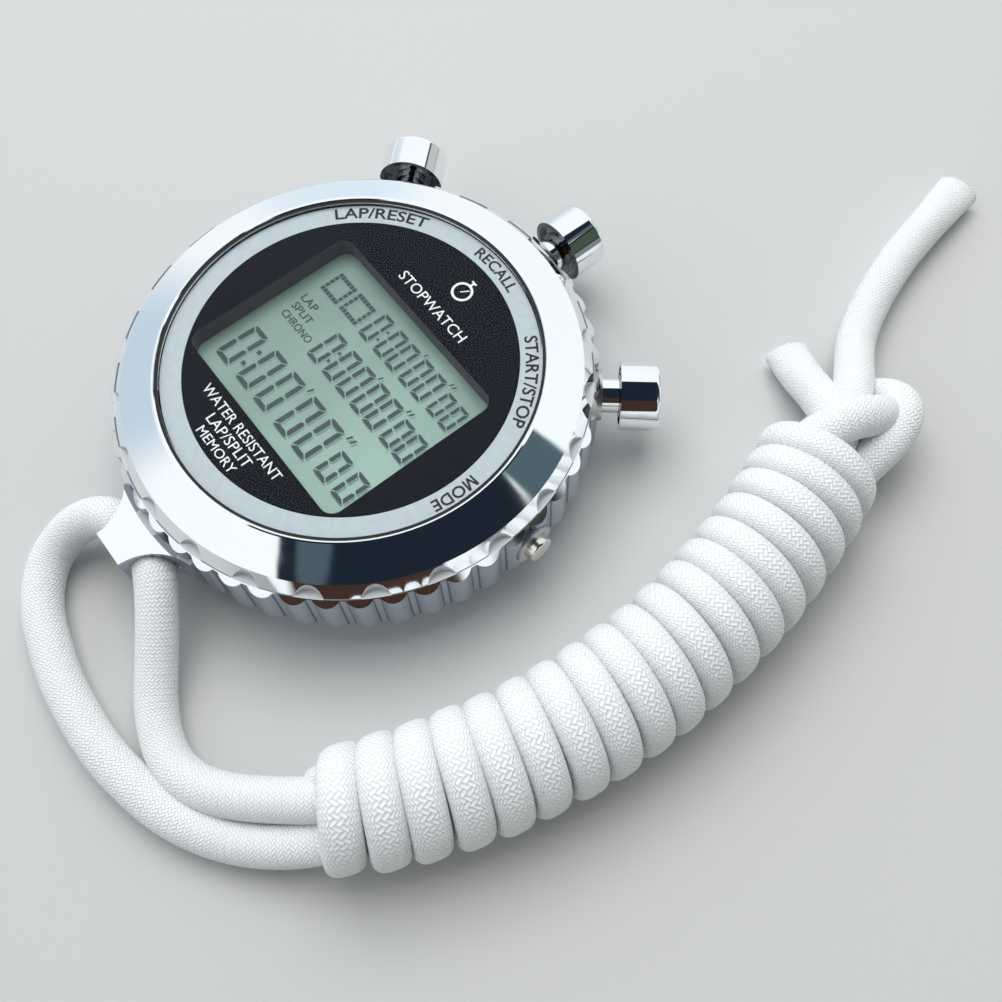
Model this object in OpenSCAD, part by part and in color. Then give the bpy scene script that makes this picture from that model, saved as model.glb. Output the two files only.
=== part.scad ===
// Hand-held digital stopwatch in a metal case, with three push buttons, a small mode button
// and a braided neck cord through the lug at six o'clock.
// Origin: centre of the case back's resting face. +Z out of the display, +Y to twelve o'clock.

/* [Case] */
// Diameter over the grip lobes
case_d = 65; // [64:0.5:80]
// Height from the resting face to the bezel lip
case_h = 18; // [17.6:0.2:22]
// Thickness of the case wall
wall = 5.5; // [4.8:0.1:6]
// Number of grip lobes round the rim
lobe_count = 48; // [36:12:60]
// Radius of one grip lobe
lobe_r = 2.2; // [1.8:0.1:2.6]
// How far a lobe stands out of the rim
lobe_rise = 0.75; // [0.4:0.05:1]
// Height of the turned bevel under the rim
back_bevel_h = 4.8; // [4:0.2:5.4]

/* [Bezel] */
// Height of the bezel ring
bezel_h = 3.7; // [3.6:0.1:4.6]
// Radial width of the sloping polished face
bezel_face_w = 5; // [3.5:0.1:5.4]
// Radial width of the steep band below the face
bezel_band_w = 1.2; // [1:0.1:2]
// Drop of the polished face from the lip to the band
bezel_drop = 2.1; // [1:0.1:2.4]
// Number of half-moon scallops in the band
scallop_count = 24; // [12:12:36]
// Radius of the cutter for one scallop
scallop_r = 2.05; // [1.5:0.05:2.4]

/* [Display] */
// Thickness of the crystal
lens_t = 0.8; // [0.6:0.1:1]
// Width of the silver legend ring
ring_w = 2.8; // [1.5:0.1:3]
// Width of the display window
window_w = 33.1; // [28:0.1:34]
// Height of the display window
window_h = 25.6; // [20:0.1:26]
// Depth of the display window
window_depth = 3; // [2:0.1:3.2]
// Distance of the window's centre below the dial's centre
window_drop = 2; // [1:0.1:2.4]
// Thickness of the liquid crystal panel
lcd_t = 1.4; // [1:0.1:1.6]

/* [Push buttons] */
// Angle between the recall button and each outer button
pusher_angle = 41.3; // [34:0.1:48]
// How far the three buttons are turned from twelve o'clock
pusher_turn = -1; // [-3:0.1:3]
// Height of the button axes above the resting face
pusher_z = 9.6; // [9.4:0.1:9.8]
// Diameter of a button cap
cap_d = 9.2; // [8:0.1:11]
// Length of a button cap
cap_len = 5.3; // [4:0.1:7]
// Diameter of a button stem
stem_d = 4.7; // [4.2:0.1:5]
// Gap between the rim and a cap at rest
cap_gap = 2.7; // [2.2:0.1:4]
// Travel of the three large buttons
travel = 1.5; // [0.8:0.1:1.6]

/* [Mode button] */
// Angle of the mode button from twelve o'clock
mode_angle = 82; // [76:1:96]
// Diameter of the mode button
mode_d = 3.6; // [3:0.1:4]
// How far the mode button stands out of the rim
mode_out = 1.6; // [1.4:0.1:2.4]
// Travel of the mode button
mode_travel = 0.9; // [0.4:0.1:1]

/* [Lug] */
// How far the lug reaches past the rim
lug_reach = 6; // [5.6:0.1:9]
// Width of the lug's tip
lug_tip_w = 5.4; // [4.5:0.1:8]
// Height of the lug's flat top above the resting face
lug_top = 11.8; // [11.4:0.1:12.4]
// Diameter of the cord hole through the lug
eye_d = 5; // [4:0.1:5.2]

/* [Cord] */
// Diameter of the braided cord
cord_d = 5.5; // [4:0.1:5.6]

/* [Works] */
// Diameter of the battery
battery_d = 20; // [16:0.5:20.5]
// Thickness of the battery
battery_t = 3.2; // [1.6:0.1:3.4]
// Thickness of the circuit board
board_t = 1.2; // [0.8:0.1:1.4]

/* [Fits] */
// Radial clearance of a sliding fit
slide_gap = 0.05; // [0.03:0.01:0.08]
// Clearance between fixed parts that are pressed or laid together
seat_gap = 0.02; // [0.02:0.01:0.05]

/* [Hidden] */
$fn = 96;
// Overlap of a cut with the space that it opens into
eps = 0.05;

// Radii of the case and of what sits in it
case_r = case_d / 2;
valley_r = case_r - lobe_rise;
cavity_r = case_r - wall;
band_r = case_r - 1;
crease_r = band_r - bezel_band_w;
lip_r = crease_r - bezel_face_w;
gasket_w = 0.4;
lens_r = lip_r - gasket_w - seat_gap;
ring_r = lens_r - 0.1;
dial_r = ring_r - ring_w;
module_r = lip_r - 0.1;
module_bore_r = lip_r + 0.3;
ledge_r = module_r - 0.6;
board_r = ledge_r - 2.2;

// Button angles from twelve o'clock
start_angle = pusher_turn + pusher_angle;
lap_angle = pusher_turn - pusher_angle;

// Heights
case_base = 0.6;
rim_top = case_h - bezel_h;
rim_base = case_base + back_bevel_h;
rim_chamfer = 0.8;
crease_z = case_h - bezel_drop;
print_z = case_h - lens_t - 0.2;
ring_t = 0.3;
lcd_top = print_z - window_depth;
lcd_base = lcd_top - lcd_t;
frame_base = lcd_base - 0.5;
ledge_t = 0.5;
board_top = pusher_z + board_t / 2;
board_base = pusher_z - board_t / 2;

// Case back, its gasket and its screws
back_t = 1.6;
back_r = cavity_r + 0.6;
back_flange_r = cavity_r - 1.6;
back_flange_t = 1;
seal_groove_r = cavity_r - 1;
seal_groove_w = 0.9;
seal_groove_depth = 0.7;
boss_r = 1.9;
boss_at = seal_groove_r - boss_r - 0.2;
boss_top = 6.4;
back_screw_r = 0.8;
back_head_r = 1.5;
back_head_t = 0.7;
back_head_z = 0.25;

// Rib that locates the bezel on the case
rib_r = cavity_r + 0.5;
rib_w = 0.8;
rib_depth = 0.8;

// Display panel, window and contact strips
window_corner_r = 1.8;
lcd_w = window_w + 2.3;
lcd_h = window_h + 2.4;
strip_w = 1.8;
strip_len = window_w - 1.1;
strip_off = lcd_h / 2 - strip_w / 2 - 0.5;

// Posts and screws of the works
post_r = 1.4;
post_x = board_r - 3.2;
post_y = 7;
module_screw_r = 0.7;

// Button fittings, measured along the button's axis from the case's centre
bush_in = cavity_r - 0.2;
bush_floor = 1;
bush_r = stem_d / 2 + 0.73;
collar_r = bush_r + 0.32;
collar_seat = case_r - 0.9;
collar_out = case_r + 0.3;
pin_d = 2;
spring_room = 1.3;
stem_in = bush_in + bush_floor + spring_room + travel;
cap_in = case_r + cap_gap;
cap_out = cap_in + cap_len;
pin_in = board_r + 0.5 + travel;
clip_t = 0.5;
clip_at = bush_in - 0.1 - clip_t;
clip_r = 1.7;
spring_r = (stem_d / 2 + pin_d / 2) / 2;
spring_wire_r = 0.17;
seal_minor_r = 0.34;

// Mode button fittings
mode_bush_r = mode_d / 2 + 0.7;
mode_pin_d = 1.6;
mode_room = 1.7;
mode_in = bush_in + bush_floor + mode_room + mode_travel;
mode_tip = case_r + mode_out;
mode_clip_r = 1.4;
mode_spring_r = (mode_d / 2 + mode_pin_d / 2) / 2;
mode_wire_r = 0.14;
mode_pin_in = board_r + 0.5 + mode_travel;

// Lug and its cord hole
lug_side_r = 7.6;
lug_base = rim_base - 0.2;
eye_y = -(case_r + lug_reach / 2 - 0.5);
eye_z = (lug_top + lug_base) / 2 - 0.1;

// Cord: the route was laid out for a cord hole at y = -35, and moves with it
route_eye_y = -35;
cord_r = cord_d / 2;
eye_cord_r = 2.3;
cord_sides = 10;
hank_r = 8;
hank_arc_r = 99;
hank_arc_at = [-45, 3];
hank_start = -23;
hank_turn = 45;
hank_z = 8.3;
knot_at = [46.1, 53];
knot_r = 5.8;
knot_len = 10.4;
knot_tilt = 8;
knot_foot = 4;
knot_base = 0.2;
knot_h = 13;
left_route = [
  [0, -35, 8.4], [-2.4, -35, 8.4], [-4.6, -35.6, 8.3], [-7, -37, 7.6], [-8.8, -39.6, 6],
  [-9.4, -42.6, 4.2], [-8.6, -45.7, 3], [-6, -48.4, 2.75], [-2.5, -50.4, 2.75],
  [2, -51.8, 2.75], [7.5, -53, 2.75], [13.3, -53.4, 2.75], [19, -53.3, 2.75],
  [24.3, -52.4, 2.75], [29.5, -51, 2.75], [34.4, -48.6, 2.8], [38.5, -45.6, 3.2],
  [42.2, -41.8, 4.4], [45.2, -37.4, 5.8], [46.7, -34, 6.5]
];
right_route = [
  [0, -35, 8.4], [2.4, -35, 8.4], [4.6, -35.5, 8.3], [7.4, -37.2, 7.4], [10.6, -39.6, 5.8],
  [14, -42.4, 4], [17.6, -45, 3], [21.3, -46.6, 2.75], [25, -47.2, 3.1], [28.8, -46.5, 3.9],
  [32.4, -44.4, 4.8], [35.8, -41.4, 6], [39, -38, 7.4], [42, -34.6, 9], [43.6, -32, 9.6]
];
long_tail_route = [
  [43.5, 49, 8.2], [41, 53.2, 7.4], [38.2, 56.8, 5.4], [35.4, 60.4, 3.6], [32.8, 64.8, 2.8],
  [30.3, 70.8, 2.75], [28.3, 77.3, 2.75], [26.6, 85.5, 2.75], [25, 93.4, 2.75]
];
short_tail_route = [
  [43.5, 46.6, 8], [40.4, 48.6, 7], [36.6, 50.2, 5], [33, 51.6, 3.6], [29.6, 53, 2.9]
];

// ---- Shared shapes ----

// Places children at an angle from twelve o'clock, with their +Z pointing out of the case
module at_angle(angle) {
  rotate([0, 0, -angle])
    translate([0, 0, pusher_z])
      rotate([-90, 0, 0])
        children();
}

// Ring between two radii and two heights
module ring(inner, outer, low, high) {
  translate([0, 0, low])
    difference() {
      cylinder(r = outer, h = high - low);
      translate([0, 0, -1])
        cylinder(r = inner, h = high - low + 2);
    }
}

// Turned solid whose outline is a square with one rounded outer corner
module rounded_disc(radius, height, corner) {
  rotate_extrude()
    union() {
      square([radius - corner, height]);
      square([radius, height - corner]);
      translate([radius - corner, height - corner])
        intersection() {
          circle(r = corner);
          square([corner, corner]);
        }
    }
}

// Flat rectangle with rounded corners
module rounded_rect(width, height, corner) {
  union() {
    square([width - 2 * corner, height], center = true);
    square([width, height - 2 * corner], center = true);
    for (x = [-1, 1], y = [-1, 1])
      translate([x * (width / 2 - corner), y * (height / 2 - corner)])
        circle(r = corner);
  }
}

function unit(v) = v / norm(v);

// Direction of a route at point i
function heading(path, i) =
  unit(path[min(i + 1, len(path) - 1)] - path[max(i - 1, 0)]);

// One ring of a tube, square to the route
function tube_ring(centre, along, radius, sides) =
  let (side = unit(cross(along, [0, 0, 1])), up = cross(side, along))
  [for (k = [0 : sides - 1])
    centre + radius * (cos(360 * k / sides) * side + sin(360 * k / sides) * up)];

// Faces that join the rings of a tube and close its ends
function tube_faces(rings, sides) = concat(
  [[for (k = [sides - 1 : -1 : 0]) k]],
  [for (i = [0 : rings - 2], k = [0 : sides - 1])
    [i * sides + k, i * sides + (k + 1) % sides,
     (i + 1) * sides + (k + 1) % sides, (i + 1) * sides + k]],
  [[for (k = [0 : sides - 1]) (rings - 1) * sides + k]]
);

// Tube along a route, with one radius for each point
module tube(path, radii, sides = cord_sides) {
  points = [for (i = [0 : len(path) - 1])
    each tube_ring(path[i], heading(path, i), radii[i], sides)];
  polyhedron(points = points, faces = tube_faces(len(path), sides), convexity = 6);
}

// Helical spring from z = 0 to z = length
module coil_spring(mean_r, wire_r, length, turns) {
  steps_per_turn = 12;
  steps = turns * steps_per_turn;
  rise = (length - 2 * wire_r) / steps;
  path = [for (i = [0 : steps])
    [mean_r * cos(360 * i / steps_per_turn), mean_r * sin(360 * i / steps_per_turn),
     wire_r + rise * i]];
  tube(path, [for (i = [0 : steps]) wire_r], 6);
}

// ---- Case ----

// Outline of the grip rim: a disc with round lobes
module rim_outline() {
  circle(r = valley_r);
  for (i = [0 : lobe_count - 1])
    rotate(360 * (i + 0.5) / lobe_count)
      translate([0, case_r - lobe_r])
        circle(r = lobe_r, $fn = 24);
}

// Turned envelope that bevels the back and chamfers the lobes
module rim_envelope() {
  rotate_extrude()
    polygon([
      [0, case_base], [case_r - 3.7, case_base], [valley_r - 0.1, rim_base],
      [case_r + 0.2, rim_base + 1], [case_r + 0.2, rim_top - rim_chamfer - 0.2],
      [valley_r - 0.1, rim_top], [0, rim_top]
    ]);
}

// Outline of the lug, with concave sides
module lug_outline() {
  side_x = lug_tip_w / 2 + lug_side_r;
  tip_y = -(case_r + lug_reach);
  root_y = -(case_r - 3.5);
  difference() {
    translate([-8.5, tip_y])
      square([17, root_y - tip_y]);
    for (x = [-1, 1])
      translate([x * side_x, tip_y - 0.3])
        circle(r = lug_side_r);
    for (x = [-1, 1])
      translate([x * 9, tip_y - 0.5])
        square([12.6 - lug_tip_w / 2, 2], center = true);
  }
}

module lug() {
  translate([0, 0, lug_base])
    linear_extrude(lug_top - lug_base)
      intersection() {
        lug_outline();
        translate([0, -(case_r + lug_reach - 6)])
          circle(r = 8.5);
      }
}

module back_bosses() {
  for (a = [45 : 90 : 315])
    rotate([0, 0, a])
      translate([boss_at, 0, back_t])
        cylinder(r = boss_r, h = boss_top - back_t);
}

// Hollow inside the case, as turned steps from the back to the top
module case_hollow() {
  translate([0, 0, case_base - 1])
    cylinder(r = back_r + 0.1, h = back_t - case_base + 1);
  cylinder(r = back_flange_r, h = rim_top);
  translate([0, 0, back_t + back_flange_t])
    cylinder(r = cavity_r, h = frame_base - ledge_t - back_t - back_flange_t);
  translate([0, 0, frame_base])
    cylinder(r = module_bore_r, h = rim_top - frame_base + 1);
  ring(seal_groove_r, seal_groove_r + seal_groove_w, back_t - eps, back_t + seal_groove_depth);
  ring(rib_r - seat_gap, rib_r + rib_w + seat_gap, rim_top - rib_depth - seat_gap, rim_top + 1);
}

module bush_bore(angle, radius, collar) {
  at_angle(angle) {
    translate([0, 0, bush_in - 0.5])
      cylinder(r = radius + seat_gap, h = case_r);
    translate([0, 0, collar_seat])
      cylinder(r = collar + 0.08, h = case_r);
  }
}

module case_body() {
  color([0.68, 0.72, 0.78])
    difference() {
      union() {
        difference() {
          union() {
            intersection() {
              linear_extrude(rim_top)
                rim_outline();
              rim_envelope();
            }
            lug();
          }
          case_hollow();
          ledge_bore();
        }
        back_bosses();
      }
      for (angle = [lap_angle, pusher_turn, start_angle])
        bush_bore(angle, bush_r, collar_r);
      bush_bore(mode_angle, mode_bush_r, mode_bush_r + 0.32);
      translate([-15, eye_y, eye_z])
        rotate([0, 90, 0])
          cylinder(d = eye_d, h = 30);
      for (a = [45 : 90 : 315])
        rotate([0, 0, a])
          translate([boss_at, 0, 0])
            cylinder(r = back_screw_r + seat_gap, h = boss_top - 0.6);
    }
}

// Bore inside the ledge that carries the works
module ledge_bore() {
  translate([0, 0, back_t])
    cylinder(r = ledge_r, h = rim_top);
}

module bezel() {
  color([0.88, 0.91, 0.95])
    difference() {
      rotate_extrude()
        polygon([
          [lip_r, rim_top], [rib_r, rim_top], [rib_r, rim_top - rib_depth],
          [rib_r + rib_w, rim_top - rib_depth], [rib_r + rib_w, rim_top], [band_r, rim_top],
          [crease_r, crease_z], [lip_r + 0.5, case_h - 0.05], [lip_r + 0.3, case_h],
          [lip_r + 0.1, case_h - 0.03], [lip_r, case_h - 0.12]
        ]);
      for (i = [0 : scallop_count - 1])
        rotate([0, 0, 360 * i / scallop_count])
          translate([0, crease_r + 0.15 + scallop_r, rim_top - 1])
            cylinder(r = scallop_r, h = bezel_h, $fn = 48);
    }
}

module case_back() {
  color([0.7, 0.72, 0.75])
    difference() {
      rotate_extrude()
        difference() {
          polygon([
            [0, 0], [back_r - 1.2, 0], [back_r, case_base], [back_r, back_t], [0, back_t]
          ]);
          translate([back_r - 7, -0.15])
            square([0.5, 0.4]);
        }
      for (a = [45 : 90 : 315])
        rotate([0, 0, a])
          translate([boss_at, 0, 0]) {
            translate([0, 0, -1])
              cylinder(r = back_screw_r + 0.1, h = back_t + 2);
            translate([0, 0, -1])
              cylinder(r = back_head_r + 0.1, h = back_head_z + back_head_t + 1);
          }
    }
}

module back_gasket() {
  color([0.1, 0.1, 0.1])
    ring(seal_groove_r + seat_gap, seal_groove_r + seal_groove_w - seat_gap,
      back_t, back_t + seal_groove_depth);
}

module back_screws() {
  color([0.75, 0.76, 0.78])
    for (a = [45 : 90 : 315])
      rotate([0, 0, a])
        translate([boss_at, 0, back_head_z])
          difference() {
            union() {
              cylinder(r = back_head_r, h = back_head_t);
              cylinder(r = back_screw_r, h = boss_top - 1 - back_head_z);
            }
            for (turn = [0, 90])
              rotate([0, 0, turn])
                translate([-1, -0.18, -1])
                  cube([2, 0.36, 1.35]);
          }
}

// ---- Display ----

module lens_gasket() {
  color([0.05, 0.06, 0.08])
    ring(lens_r + seat_gap, lip_r - seat_gap, print_z - 0.8, case_h - 0.2);
}

module lens() {
  color([0.9, 0.95, 0.97, 0.3])
    translate([0, 0, print_z])
      cylinder(r = lens_r, h = lens_t);
}

module dial_ring() {
  color([0.84, 0.88, 0.9])
    ring(dial_r, ring_r, print_z - ring_t, print_z);
}

module window_cut(low, high) {
  translate([0, -window_drop, low])
    linear_extrude(high - low)
      rounded_rect(window_w, window_h, window_corner_r);
}

module dial_mask() {
  color([0.14, 0.16, 0.2])
    difference() {
      union() {
        translate([0, 0, lcd_top])
          cylinder(r = ring_r, h = window_depth - ring_t);
        translate([0, 0, lcd_top])
          cylinder(r = dial_r - seat_gap, h = window_depth);
      }
      window_cut(lcd_top - 1, print_z + 1);
    }
}

module lcd_panel() {
  color([0.66, 0.76, 0.71])
    translate([-lcd_w / 2, -window_drop - lcd_h / 2, lcd_base])
      cube([lcd_w, lcd_h, lcd_t]);
}

module lcd_reflector() {
  color([0.8, 0.82, 0.8])
    translate([-strip_len / 2, -window_drop - strip_off + 1.2, lcd_base - 0.1])
      cube([strip_len, 2 * strip_off - 2.4, 0.1]);
}

// ---- Works ----

module at_posts() {
  for (x = [-post_x, post_x], y = [-post_y, post_y])
    translate([x, y, 0])
      children();
}

module module_frame() {
  color([0.16, 0.17, 0.18])
    difference() {
      union() {
        translate([0, 0, frame_base])
          cylinder(r = module_r, h = lcd_top - frame_base);
        at_posts()
          translate([0, 0, board_top])
            cylinder(r = post_r, h = lcd_base - board_top);
      }
      translate([-lcd_w / 2 - 0.1, -window_drop - lcd_h / 2 - 0.1, lcd_base])
        cube([lcd_w + 0.2, lcd_h + 0.2, lcd_t + 1]);
      translate([-window_w / 2 - 0.45, -window_drop - lcd_h / 2 + 0.4, frame_base - 1])
        cube([window_w + 0.9, lcd_h - 0.8, 5]);
      at_posts()
        translate([0, 0, board_top - 1])
          cylinder(r = module_screw_r + seat_gap, h = 2.5);
    }
}

module zebra_strip(side) {
  color([0.55, 0.3, 0.35])
    translate([-strip_len / 2, -window_drop + side * strip_off - strip_w / 2, board_top])
      cube([strip_len, strip_w, lcd_base - board_top]);
}

module circuit_board() {
  color([0.1, 0.35, 0.22])
    translate([0, 0, board_base])
      difference() {
        cylinder(r = board_r, h = board_t);
        at_posts()
          translate([0, 0, -1])
            cylinder(r = module_screw_r + 0.1, h = board_t + 2);
      }
}

module module_screws() {
  color([0.8, 0.8, 0.82])
    at_posts()
      translate([0, 0, board_base - 0.6])
        difference() {
          union() {
            cylinder(r = post_r, h = 0.6);
            cylinder(r = module_screw_r, h = board_t + 1.8);
          }
          for (turn = [0, 90])
            rotate([0, 0, turn])
              translate([-0.9, -0.15, -1])
                cube([1.8, 0.3, 1.3]);
        }
}

module chip_blob() {
  color([0.06, 0.06, 0.07])
    intersection() {
      translate([-9, 11, board_base + 5.4])
        sphere(r = 7);
      translate([-17, 3, board_base - 4])
        cube([16, 16, 4]);
    }
}

module quartz_crystal() {
  color([0.78, 0.79, 0.8])
    translate([9, 10, board_base - 1.5])
      rotate([0, 90, 0])
        cylinder(r = 1.5, h = 6);
}

battery_y = -8.5;
battery_base = board_base - 1.2 - battery_t;

module battery() {
  color([0.82, 0.82, 0.84])
    translate([0, battery_y, battery_base])
      union() {
        cylinder(d = battery_d, h = battery_t - 0.4);
        cylinder(d = battery_d - 2.6, h = battery_t);
      }
}

module battery_clip_plus() {
  side_x = battery_d / 2 + 0.1;
  color([0.85, 0.78, 0.55])
    translate([0, battery_y - 2, 0]) {
      translate([side_x, 0, battery_base - 0.3])
        cube([0.3, 4, board_base - battery_base + 0.3]);
      translate([side_x - 5, 0, battery_base - 0.3])
        cube([5.1, 4, 0.3]);
      translate([side_x, 0, board_base - 0.3])
        cube([3, 4, 0.3]);
    }
}

module battery_leaf_minus() {
  color([0.85, 0.78, 0.55])
    translate([0, battery_y, 0]) {
      translate([-5, -2, board_base - 0.3])
        cube([10, 4, 0.3]);
      translate([0, 0, battery_base + battery_t])
        cylinder(r = 1.3, h = 1.2 - 0.2);
    }
}

module piezo_disc() {
  color([0.8, 0.66, 0.35])
    translate([0, 11, back_t]) {
      cylinder(r = 8.5, h = 0.2);
      cylinder(r = 6, h = 0.4);
    }
}

module piezo_spring() {
  color([0.85, 0.78, 0.55])
    translate([2, 11, back_t + 0.4])
      coil_spring(1.4, 0.2, board_base - back_t - 0.4, 5);
}

// ---- Push buttons ----

module pusher(angle) {
  stem_r = stem_d / 2;
  pin_r = pin_d / 2;
  color([0.85, 0.87, 0.9])
    at_angle(angle)
      difference() {
        union() {
          translate([0, 0, pin_in])
            cylinder(r = pin_r, h = stem_in - pin_in + 0.5);
          translate([0, 0, stem_in])
            cylinder(r = stem_r, h = cap_in - stem_in + 1);
          translate([0, 0, cap_in])
            rounded_disc(cap_d / 2, cap_len, 0.7);
        }
        ring(stem_r + 0.5, cap_d / 2 - 0.7, cap_in - 1, cap_in + 0.6);
        ring(seal_mid_r() - seal_minor_r - 0.02, stem_r + 1,
          stem_in + 0.4, stem_in + 0.4 + 2 * seal_minor_r);
        ring(pin_r - 0.25, pin_r + 1, clip_at, clip_at + clip_t);
      }
}

// Mid radius of the seal on a stem, so that it just clears the bush
function seal_mid_r(d = stem_d) = d / 2 + slide_gap - 0.02 - seal_minor_r;

module bush(angle, bore_d, small_d, outer_r) {
  color([0.78, 0.8, 0.82])
    at_angle(angle)
      difference() {
        union() {
          translate([0, 0, bush_in])
            cylinder(r = outer_r, h = collar_out - bush_in);
          translate([0, 0, collar_seat])
            cylinder(r = outer_r + 0.32, h = collar_out - collar_seat);
        }
        translate([0, 0, bush_in + bush_floor])
          cylinder(r = bore_d / 2 + slide_gap, h = case_r);
        cylinder(r = small_d / 2 + slide_gap, h = case_r);
      }
}

module seal(angle, d, from) {
  color([0.08, 0.08, 0.08])
    at_angle(angle)
      translate([0, 0, from + 0.4 + seal_minor_r])
        rotate_extrude()
          translate([seal_mid_r(d), 0])
            circle(r = seal_minor_r, $fn = 24);
}

module clip(angle, pin_diameter, outer) {
  color([0.6, 0.6, 0.62])
    at_angle(angle)
      difference() {
        ring(pin_diameter / 2 - 0.22, outer, clip_at, clip_at + clip_t);
        translate([-0.35, 0, clip_at - 1])
          cube([0.7, 5, clip_t + 2]);
      }
}

module return_spring(angle, mean_r, wire_r, stem_end) {
  color([0.8, 0.8, 0.82])
    at_angle(angle)
      translate([0, 0, bush_in + bush_floor])
        coil_spring(mean_r, wire_r, stem_end - bush_in - bush_floor, 3);
}

// Spring leaf on the edge of the board that a button's pin presses
module leaf(angle, stroke_end) {
  color([0.85, 0.78, 0.55])
    rotate([0, 0, -angle])
      translate([-1.75, 0, 0]) {
        translate([0, board_r - 2, board_top])
          cube([3.5, stroke_end - 0.05 - board_r + 2, 0.2]);
        translate([0, stroke_end - 0.25, board_base - 0.6])
          cube([3.5, 0.2, board_t + 0.8]);
      }
}

module pusher_mode() {
  head_r = mode_d / 2;
  pin_r = mode_pin_d / 2;
  color([0.82, 0.8, 0.76])
    at_angle(mode_angle)
      difference() {
        union() {
          translate([0, 0, mode_pin_in])
            cylinder(r = pin_r, h = mode_in - mode_pin_in + 0.5);
          translate([0, 0, mode_in])
            rounded_disc(head_r, mode_tip - mode_in, 0.35);
        }
        ring(seal_mid_r(mode_d) - seal_minor_r - 0.02, head_r + 1,
          mode_in + 0.4, mode_in + 0.4 + 2 * seal_minor_r);
        ring(pin_r - 0.25, pin_r + 1, clip_at, clip_at + clip_t);
      }
}

// ---- Cord ----

// Moves the cord with the lug's hole
module cord_place() {
  color([0.95, 0.96, 0.96])
    translate([0, eye_y - route_eye_y, 0])
      children();
}

function strand_radii(path) =
  [for (i = [0 : len(path) - 1]) i < 2 ? min(eye_cord_r, eye_d / 2 - 0.2) : cord_r];

module cord_left() {
  cord_place()
    tube(left_route, strand_radii(left_route));
}

module cord_right() {
  cord_place()
    tube(right_route, strand_radii(right_route));
}

module cord_hank() {
  cord_place()
    translate([hank_arc_at[0], hank_arc_at[1], hank_z])
      rotate([0, 0, hank_start])
        rotate_extrude(angle = hank_turn, $fn = 180)
          translate([hank_arc_r, 0])
            circle(r = hank_r, $fn = 48);
}

// Outer shape of the knot: a rounded block, with a foot that meets the hank's end face
module cord_knot() {
  hank_end = hank_start + hank_turn;
  cord_place()
    translate([0, 0, knot_base])
      linear_extrude(knot_h)
        union() {
          translate(knot_at)
            circle(r = knot_r);
          translate(knot_at)
            rotate(knot_tilt)
              translate([-knot_r, -knot_len])
                square([2 * knot_r, knot_len]);
          translate(hank_arc_at)
            rotate(hank_end)
              translate([hank_arc_r - 0.9 * hank_r, 0])
                square([1.8 * hank_r, knot_foot]);
        }
}

module cord_tail_long() {
  cord_place()
    tube(long_tail_route, [for (p = long_tail_route) cord_r]);
}

module cord_tail_short() {
  cord_place()
    tube(short_tail_route, [for (p = short_tail_route) cord_r]);
}

// ---- Assembly ----

case_body();
bezel();
lens_gasket();
lens();
dial_ring();
dial_mask();
lcd_panel();
lcd_reflector();
module_frame();
zebra_strip(1);  // zebra_strip_upper
zebra_strip(-1);  // zebra_strip_lower
circuit_board();
chip_blob();
quartz_crystal();
battery();
battery_clip_plus();
battery_leaf_minus();
piezo_disc();
piezo_spring();
module_screws();
case_back();
back_gasket();
back_screws();
pusher(start_angle);  // pusher_start_stop
bush(start_angle, stem_d, pin_d, bush_r);  // bush_start_stop
seal(start_angle, stem_d, stem_in);  // seal_start_stop
clip(start_angle, pin_d, clip_r);  // clip_start_stop
return_spring(start_angle, spring_r, spring_wire_r, stem_in);  // spring_start_stop
leaf(start_angle, pin_in - travel);  // leaf_start_stop
pusher(lap_angle);  // pusher_lap_reset
bush(lap_angle, stem_d, pin_d, bush_r);  // bush_lap_reset
seal(lap_angle, stem_d, stem_in);  // seal_lap_reset
clip(lap_angle, pin_d, clip_r);  // clip_lap_reset
return_spring(lap_angle, spring_r, spring_wire_r, stem_in);  // spring_lap_reset
leaf(lap_angle, pin_in - travel);  // leaf_lap_reset
pusher(pusher_turn);  // pusher_recall
bush(pusher_turn, stem_d, pin_d, bush_r);  // bush_recall
seal(pusher_turn, stem_d, stem_in);  // seal_recall
clip(pusher_turn, pin_d, clip_r);  // clip_recall
return_spring(pusher_turn, spring_r, spring_wire_r, stem_in);  // spring_recall
leaf(pusher_turn, pin_in - travel);  // leaf_recall
pusher_mode();
bush(mode_angle, mode_d, mode_pin_d, mode_bush_r);  // bush_mode
seal(mode_angle, mode_d, mode_in);  // seal_mode
clip(mode_angle, mode_pin_d, mode_clip_r);  // clip_mode
return_spring(mode_angle, mode_spring_r, mode_wire_r, mode_in);  // spring_mode
leaf(mode_angle, mode_pin_in - mode_travel);  // leaf_mode
cord_left();
cord_right();
cord_hank();
cord_knot();
cord_tail_long();
cord_tail_short();
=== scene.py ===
import math
import random

import bmesh
import bpy
import numpy as np
from bpy.props import FloatProperty, FloatVectorProperty, IntProperty, PointerProperty
from mathutils import Matrix, Vector


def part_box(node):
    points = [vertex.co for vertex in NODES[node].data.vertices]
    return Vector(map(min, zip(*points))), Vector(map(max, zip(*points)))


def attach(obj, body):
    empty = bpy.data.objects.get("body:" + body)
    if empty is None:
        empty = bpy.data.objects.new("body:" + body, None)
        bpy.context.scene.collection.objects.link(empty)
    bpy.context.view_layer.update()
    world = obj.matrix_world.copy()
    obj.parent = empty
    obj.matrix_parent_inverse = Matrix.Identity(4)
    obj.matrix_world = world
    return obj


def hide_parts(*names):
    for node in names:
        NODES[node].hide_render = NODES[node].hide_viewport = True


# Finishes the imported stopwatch: neck cord, chrome case, display, legends, works and stage.

bl_info = {
    "name": "Stopwatch Finisher",
    "version": (1, 0, 0),
    "blender": (4, 5, 0),
    "location": "3D View > Sidebar > Stopwatch",
    "description": "Cord, chrome, display and stage for a packed hand-held stopwatch",
    "category": "Object",
}

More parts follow.
